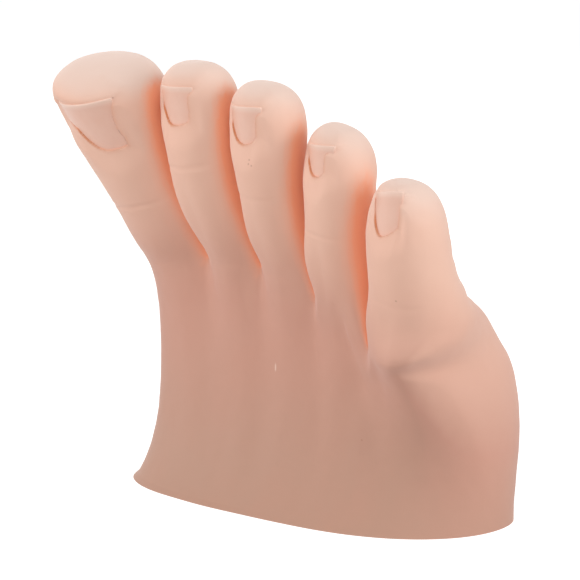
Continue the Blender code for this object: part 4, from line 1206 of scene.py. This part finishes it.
def plate_point(index, side, share, lower):
    """A corner of the nail, from -1 to 1 across it and 0 to 1 from its tail to its free edge."""
    toe = TOES[index]
    half = toe.nail_width / 2
    whole = toe.nail_length + NAIL_TAIL
    along = (plate_rounding(toe, side) - whole) * (1.0 - share) - free_edge_back(index, side) * share
    end = rise(-FLARE_LENGTH_SHARE * toe.nail_length, 0.0, along)
    aside = half * side * (1.0 + FLARE_SHARE * end)
    depth = plate_bend(toe, half * side) - FREE_EDGE_CURL * end
    return aside, depth + (NAIL_THICKNESS if lower else 0.0), along


def nail_plate(index, place):
    """A bent plate with softened edges and a paler free edge."""
    toe = TOES[index]
    shape = bmesh.new()
    free = shape.verts.layers.float.new("free_edge")
    layers = []
    for lower in (False, True):
        rows = []
        for row in range(PLATE_ROWS + 1):
            line = []
            for column in range(PLATE_COLUMNS + 1):
                side = 2.0 * column / PLATE_COLUMNS - 1.0
                spot = plate_point(index, side, row / PLATE_ROWS, lower)
                corner = shape.verts.new(place.world(np.array(spot, dtype=float)))
                corner[free] = float(rise(-FREE_EDGE_BAND, 0.0, spot[2] + free_edge_back(index, side)))
                line.append(corner)
            rows.append(line)
        layers.append(rows)
    for rows in layers:
        for lower, upper in zip(rows, rows[1:]):
            for column in range(PLATE_COLUMNS):
                shape.faces.new((lower[column], lower[column + 1], upper[column + 1], upper[column]))
    rims = []
    for rows in layers:
        left = [row[0] for row in rows[1:-1]]
        right = [row[-1] for row in rows[1:-1]]
        rims.append(rows[0] + right + rows[-1][::-1] + left[::-1])
    for corner in range(len(rims[0])):
        after = (corner + 1) % len(rims[0])
        shape.faces.new((rims[0][corner], rims[0][after], rims[1][after], rims[1][corner]))
    bmesh.ops.recalc_face_normals(shape, faces=shape.faces)
    mesh = bpy.data.meshes.new(toe.name + "_practice_nail")
    shape.to_mesh(mesh)
    shape.free()
    item = new_object(toe.name + "_practice_nail", mesh)
    soften_edges(item)
    return item


def soften_edges(item):
    """Rounds a plate's rim with a bevel, and shades it smooth."""
    select_only(item)
    bevel = item.modifiers.new("rim", "BEVEL")
    bevel.width = PLATE_RIM
    bevel.segments = PLATE_RIM_STEPS
    bevel.limit_method = "ANGLE"
    bevel.angle_limit = math.radians(PLATE_RIM_ANGLE)
    bpy.ops.object.modifier_apply(modifier="rim")
    bpy.ops.object.shade_smooth_by_angle(angle=math.radians(PLATE_SMOOTH_ANGLE))


def practice_nails(plastic):
    for index, toe in enumerate(TOES):
        nail = nail_plate(index, nail_place(index))
        nail.data.materials.append(plastic)
        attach(nail, toe.name + "_nail_plate")
        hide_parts(toe.name + "_nail")


# Materials. Patterns are sized in millimetres


def linear(colour):
    """An sRGB hex colour as the linear colour that a shader takes."""
    channels = [int(colour[place : place + 2], 16) / 255 for place in (1, 3, 5)]
    turned = [c / 12.92 if c <= 0.04045 else ((c + 0.055) / 1.055) ** 2.4 for c in channels]
    return (*turned, 1.0)


def new_material(name):
    """A material with a shader, and its node tree."""
    made = bpy.data.materials.new(name)
    made.use_nodes = True
    return made, made.node_tree, made.node_tree.nodes["Principled BSDF"]


def add_node(tree, kind, values=(), links=(), **settings):
    """Adds a node, with its settings, (socket, value) pairs and (socket, source) links."""
    made = tree.nodes.new(kind)
    for name, value in settings.items():
        setattr(made, name, value)
    for socket, value in values:
        made.inputs[socket].default_value = value
    for socket, source in links:
        tree.links.new(source, made.inputs[socket])
    return made


def own_place(tree):
    """The piece's own coordinates, in metres."""
    return add_node(tree, "ShaderNodeTexCoord").outputs["Object"]


def known(tree, label):
    """A value that the piece's mesh carries at each vertex."""
    return add_node(tree, "ShaderNodeAttribute", attribute_name=label).outputs["Fac"]


def cloudy(tree, place, size_mm, detail, distortion=0.0):
    """A noise whose features are about this many millimetres apart."""
    values = (("Scale", 1.0 / (size_mm * MM)), ("Detail", detail), ("Distortion", distortion))
    return add_node(tree, "ShaderNodeTexNoise", values=values, links=(("Vector", place),)).outputs["Fac"]


def mapped(tree, value, start, end, low=0.0, high=1.0, shape="LINEAR"):
    """A value from low, at start, to high, at end."""
    values = (("From Min", start), ("From Max", end), ("To Min", low), ("To Max", high))
    made = add_node(
        tree, "ShaderNodeMapRange", interpolation_type=shape, values=values, links=(("Value", value),)
    )
    return made.outputs["Result"]


def larger(tree, first, second):
    return add_node(tree, "ShaderNodeMath", operation="MAXIMUM", links=((0, first), (1, second))).outputs[0]


def mixed(tree, amount, under, over):
    """One colour over another by an amount; each colour is a hex value or comes from a node."""
    values, links = [], [(0, amount)]
    for socket, colour in ((6, under), (7, over)):
        if isinstance(colour, str):
            values.append((socket, linear(colour)))
        else:
            links.append((socket, colour))
    return add_node(tree, "ShaderNodeMix", data_type="RGBA", values=values, links=links).outputs[2]


def tone_ramp(tree, source, stops):
    """Blends colours along a value, through (place, colour) stops."""
    made = add_node(tree, "ShaderNodeValToRGB", links=(("Fac", source),))
    ramp = made.color_ramp
    while len(ramp.elements) < len(stops):
        ramp.elements.new(0.5)
    for element, (place, colour) in zip(ramp.elements, stops):
        element.position = place
        element.color = linear(colour)
    return made.outputs["Color"]


def finish(tree, shader, colour, height, strength, depth, values):
    """Gives a shader its colour, its relief and its constant values."""
    tree.links.new(colour, shader.inputs["Base Color"])
    relief = (("Strength", strength), ("Distance", depth))
    bump = add_node(tree, "ShaderNodeBump", values=relief, links=(("Height", height),))
    tree.links.new(bump.outputs["Normal"], shader.inputs["Normal"])
    for socket, value in values:
        shader.inputs[socket].default_value = value


# The silicone's tones: down at the cut face, on the dorsum and on the toes, the lower two darker partly as painted
# shade; its blush; painted light where it faces up; painted shade between the toes and in the nails' grooves
SKIN_LOW = "#c09783"
SKIN_DORSUM = "#d09c89"
SKIN_TOE = "#efc0aa"
SKIN_BLUSH = "#d98f78"
SKIN_PAINTED_LIGHT = "#f1d3c4"
SKIN_CREVICE_SHADE = "#fcaa84"
SKIN_GROOVE_SHADE = "#dd8c60"
BLUSH_SIZE_MM = 16.0
BLUSH_SPAN = (0.42, 0.70)
BLUSH_SHARE = 0.06
CREVICE_SHADE_SPAN = (0.08, 0.50)
# Its relief: pores, and fine lines that run across the foot
PORE_SIZE_MM = 0.7
LINE_SIZE_MM = 1.6
LINE_DISTORTION = 0.6
LINE_SQUEEZE = (0.35, 0.35, 1.6)
LINE_TURN = (0.0, 0.5, 0.0)
LINE_SHARE = 0.45
RELIEF_STRENGTH = 0.30
RELIEF_DEPTH = 0.00008
SILICONE_FINISH = (
    ("Roughness", 0.62),
    ("IOR", 1.41),
    ("Specular IOR Level", 0.35),
    ("Sheen Weight", 0.25),
    ("Sheen Roughness", 0.45),
)

# Small marks that the cast has kept: pits with dust in them, a pale nick and a short pale scratch
PITS = (
    (0.0049, -0.0194, 0.0822),
    (0.0047, -0.0194, 0.0813),
    (0.0055, -0.0194, 0.0810),
    (0.0397, -0.0131, 0.0552),
    (0.0440, 0.0042, 0.0315),
    (0.0224, -0.0019, 0.0194),
)
NICKS = ((0.0432, 0.0068, 0.0203), (-0.0007, -0.0043, 0.0327))
MARK_SIZE = 0.00032
MARK_CORE = MARK_SIZE / 3
NICK_STRETCH = 4.0
PIT_BROWN = "#a5705b"
NICK_PALE = "#f4dccb"
PIT_SHARE = 0.42
NICK_SHARE = 0.55


def near_marks(tree, place, marks, share, stretch):
    """A value that is high within a mark's size of any of these places, and reaches further up and down."""
    squeeze = (1.0, 1.0, 1.0 / stretch)
    squeezed = add_node(
        tree, "ShaderNodeVectorMath", operation="MULTIPLY", values=((1, squeeze),), links=((0, place),)
    ).outputs["Vector"]
    total = None
    for x, y, z in marks:
        middle = ((1, (x, y, z / stretch)),)
        apart = add_node(
            tree, "ShaderNodeVectorMath", operation="DISTANCE", values=middle, links=((0, squeezed),)
        ).outputs["Value"]
        found = mapped(tree, apart, MARK_SIZE, MARK_CORE, high=share, shape="SMOOTHSTEP")
        total = found if total is None else larger(tree, total, found)
    return total


def silicone_skin():
    """Platinum silicone, pigmented right through: soft and matte, with painted shade, redder, where it is closed
    in, and painted light where it faces up.
    """
    made, tree, shader = new_material("poured_platinum_silicone")
    place = own_place(tree)
    # Lighter on the thin toes, which let light through, and painted lighter on the outer side; darker over the
    # dorsum and down to the cut face, partly the thick silicone's tone and partly painted shade
    colour = tone_ramp(
        tree, known(tree, "thin"), ((0.0, SKIN_LOW), (DORSUM_SHARE, SKIN_DORSUM), (1.0, SKIN_TOE))
    )
    colour = mixed(tree, near_marks(tree, place, PITS, PIT_SHARE, 1.0), colour, PIT_BROWN)
    colour = mixed(tree, near_marks(tree, place, NICKS, NICK_SHARE, NICK_STRETCH), colour, NICK_PALE)
    blush = mapped(tree, cloudy(tree, place, BLUSH_SIZE_MM, 3.0), *BLUSH_SPAN, high=BLUSH_SHARE)
    colour = mixed(tree, blush, colour, SKIN_BLUSH)
    # Painted light: paler where the skin faces up, and a little on the toes' sides
    colour = mixed(tree, known(tree, "pale"), colour, SKIN_PAINTED_LIGHT)
    # Painted shade: redder orange between the toes, where they close each other in
    depth = mapped(tree, known(tree, "crevice"), *CREVICE_SHADE_SPAN, shape="SMOOTHSTEP")
    colour = mixed(tree, depth, colour, SKIN_CREVICE_SHADE)
    # Painted shade in the grooves round the nails and on the pulp ahead of their free edges
    colour = mixed(tree, known(tree, "groove"), colour, SKIN_GROOVE_SHADE)

    turned = (("Scale", LINE_SQUEEZE), ("Rotation", LINE_TURN))
    stretched = add_node(tree, "ShaderNodeMapping", values=turned, links=(("Vector", place),))
    pores = cloudy(tree, place, PORE_SIZE_MM, 4.0)
    lines = cloudy(tree, stretched.outputs["Vector"], LINE_SIZE_MM, 3.0, LINE_DISTORTION)
    grain = add_node(
        tree, "ShaderNodeMix", data_type="FLOAT", values=((0, LINE_SHARE),), links=((2, pores), (3, lines))
    ).outputs[0]
    finish(tree, shader, colour, grain, RELIEF_STRENGTH, RELIEF_DEPTH, SILICONE_FINISH)
    return made


NAIL_BASE = "#ebbca8"
NAIL_FREE = "#f2cfbe"
NAIL_STREAK_SIZE_MM = 3.0
NAIL_STREAK_SPAN = (0.35, 0.65)
NAIL_STREAK_SHARE = 0.15
NAIL_RIPPLE_SIZE_MM = 0.9
NAIL_RIPPLE_STRENGTH = 0.25
NAIL_RIPPLE_DEPTH = 0.00008
NAIL_FINISH = (("Roughness", 0.42), ("IOR", 1.53), ("Specular IOR Level", 0.40))


def nail_plastic():
    """Moulded ABS, tinted pink, thin and a little clear towards its free edge."""
    made, tree, shader = new_material("tinted_moulded_abs")
    place = own_place(tree)
    streaks = cloudy(tree, place, NAIL_STREAK_SIZE_MM, 2.0)
    uneven = mapped(tree, streaks, *NAIL_STREAK_SPAN, high=NAIL_STREAK_SHARE)
    colour = mixed(tree, larger(tree, known(tree, "free_edge"), uneven), NAIL_BASE, NAIL_FREE)
    ripple = cloudy(tree, place, NAIL_RIPPLE_SIZE_MM, 2.0)
    finish(tree, shader, colour, ripple, NAIL_RIPPLE_STRENGTH, NAIL_RIPPLE_DEPTH, NAIL_FINISH)
    return made


NYLON_WHITE = "#e7e3d8"
NYLON_CREAM = "#ddd7c6"
NYLON_FLOW_SIZE_MM = 9.0
NYLON_GRAIN_SIZE_MM = 0.25
NYLON_GRAIN_STRENGTH = 0.3
NYLON_GRAIN_DEPTH = 0.00003
NYLON_FINISH = (("Roughness", 0.5),)


def moulded_nylon():
    """Injection-moulded nylon, off-white, with the fine spark grain of its mould."""
    made, tree, shader = new_material("moulded_nylon")
    place = own_place(tree)
    colour = mixed(tree, cloudy(tree, place, NYLON_FLOW_SIZE_MM, 2.0), NYLON_WHITE, NYLON_CREAM)
    grain = cloudy(tree, place, NYLON_GRAIN_SIZE_MM, 2.0)
    finish(tree, shader, colour, grain, NYLON_GRAIN_STRENGTH, NYLON_GRAIN_DEPTH, NYLON_FINISH)
    return made


STEEL_GREY = "#c9c8c4"
STEEL_MARK_SIZE_MM = 0.2
STEEL_ROUGHNESS = (0.28, 0.44)


def rivet_steel():
    """Bright mild steel wire, cut and headed, with fine turning marks."""
    made, tree, shader = new_material("headed_steel_wire")
    marks = cloudy(tree, own_place(tree), STEEL_MARK_SIZE_MM, 3.0)
    tree.links.new(mapped(tree, marks, 0.0, 1.0, *STEEL_ROUGHNESS), shader.inputs["Roughness"])
    shader.inputs["Base Color"].default_value = linear(STEEL_GREY)
    shader.inputs["Metallic"].default_value = 1.0
    return made


def dress_inner_pieces():
    """The keel, its links and its rivets keep their solids and get their finish."""
    nylon, steel = moulded_nylon(), rivet_steel()
    for name, item in frame["nodes"].items():
        if name == "keel_plate" or name.endswith("_link"):
            chosen = nylon
        elif name.endswith("_rivet"):
            chosen = steel
        else:
            continue
        item.data.materials.clear()
        item.data.materials.append(chosen)


# Floor, light and camera

FLOOR_SIZE = 6.0
FLOOR_GREY = "#cccccc"
FLOOR_GLOW = 0.72
WHITE = (1.0, 1.0, 1.0, 1.0)
WORLD_STRENGTH = 0.47


def seen_by_camera(tree):
    """1 where the camera looks, straight, by a reflection or through something clear, and 0 elsewhere."""
    path = add_node(tree, "ShaderNodeLightPath").outputs
    seen = larger(tree, path["Is Camera Ray"], path["Is Glossy Ray"])
    return larger(tree, seen, path["Is Transmission Ray"])


def white_floor():
    """A pale floor that the camera sees as white, apart from the shadow on it."""
    bpy.ops.object.select_all(action="DESELECT")
    bpy.ops.mesh.primitive_plane_add(size=FLOOR_SIZE, location=(0.0, 0.0, 0.0))
    floor = bpy.context.object
    floor.name = "floor"
    made, tree, shader = new_material("matt_white_paper")
    shader.inputs["Base Color"].default_value = linear(FLOOR_GREY)
    shader.inputs["Roughness"].default_value = 1.0
    shader.inputs["Specular IOR Level"].default_value = 0.0
    shader.inputs["Emission Color"].default_value = WHITE
    glow = mapped(tree, seen_by_camera(tree), 0.0, 1.0, high=FLOOR_GLOW)
    tree.links.new(glow, shader.inputs["Emission Strength"])
    floor.data.materials.append(made)


def white_world():
    """Soft white light from all round, and a white background behind the floor's edge."""
    world = bpy.data.worlds.new("studio")
    world.use_nodes = True
    tree = world.node_tree
    background = tree.nodes["Background"]
    background.inputs["Color"].default_value = WHITE
    strength = mapped(tree, seen_by_camera(tree), 0.0, 1.0, low=WORLD_STRENGTH)
    tree.links.new(strength, background.inputs["Strength"])
    bpy.context.scene.world = world


# Softboxes: degrees round from the nails' side, degrees up, distance, size and watts
SOFTBOXES = (
    ("top_softbox", 30.0, 70.0, 0.9, 0.8, 1.5),
    ("side_softbox", 108.0, 14.0, 0.9, 0.5, 3.3),
    ("front_softbox", 24.0, 9.0, 1.0, 0.4, 2.1),
    ("left_softbox", -50.0, 11.0, 1.0, 0.4, 3.0),
    ("back_softbox", 235.0, 35.0, 0.9, 0.6, 1.2),
)


def way_out(azimuth, elevation):
    """The direction from the foot to a lamp or to the camera."""
    turn, lift = math.radians(azimuth), math.radians(elevation)
    return Vector((math.sin(turn) * math.cos(lift), -math.cos(turn) * math.cos(lift), math.sin(lift)))


def studio_lights():
    """Square softboxes, each facing the middle of the foot."""
    for name, azimuth, elevation, distance, size, power in SOFTBOXES:
        lamp = bpy.data.lights.new(name, "AREA")
        lamp.shape = "SQUARE"
        lamp.size = size
        lamp.energy = power
        item = new_object(name, lamp)
        way = way_out(azimuth, elevation)
        item.location = Vector(CAMERA_TARGET) + way * distance
        item.rotation_euler = (-way).to_track_quat("-Z", "Y").to_euler()


def photo_camera():
    """The photograph's camera."""
    back = way_out(CAMERA_AZIMUTH, CAMERA_ELEVATION)
    data = bpy.data.cameras.new("photo_camera")
    data.lens = CAMERA_LENS
    data.clip_start = CAMERA_NEAR
    camera = new_object("photo_camera", data)
    camera.location = Vector(CAMERA_TARGET) + back * CAMERA_DISTANCE
    camera.rotation_mode = "QUATERNION"
    camera.rotation_quaternion = (-back).to_track_quat("-Z", "Y")
    bpy.context.scene.camera = camera


skin = foot_skin()
sculpt(skin)
skin_pieces(skin, silicone_skin())
practice_nails(nail_plastic())
dress_inner_pieces()
white_floor()
white_world()
studio_lights()
photo_camera()
bpy.context.scene.view_settings.view_transform = "Standard"
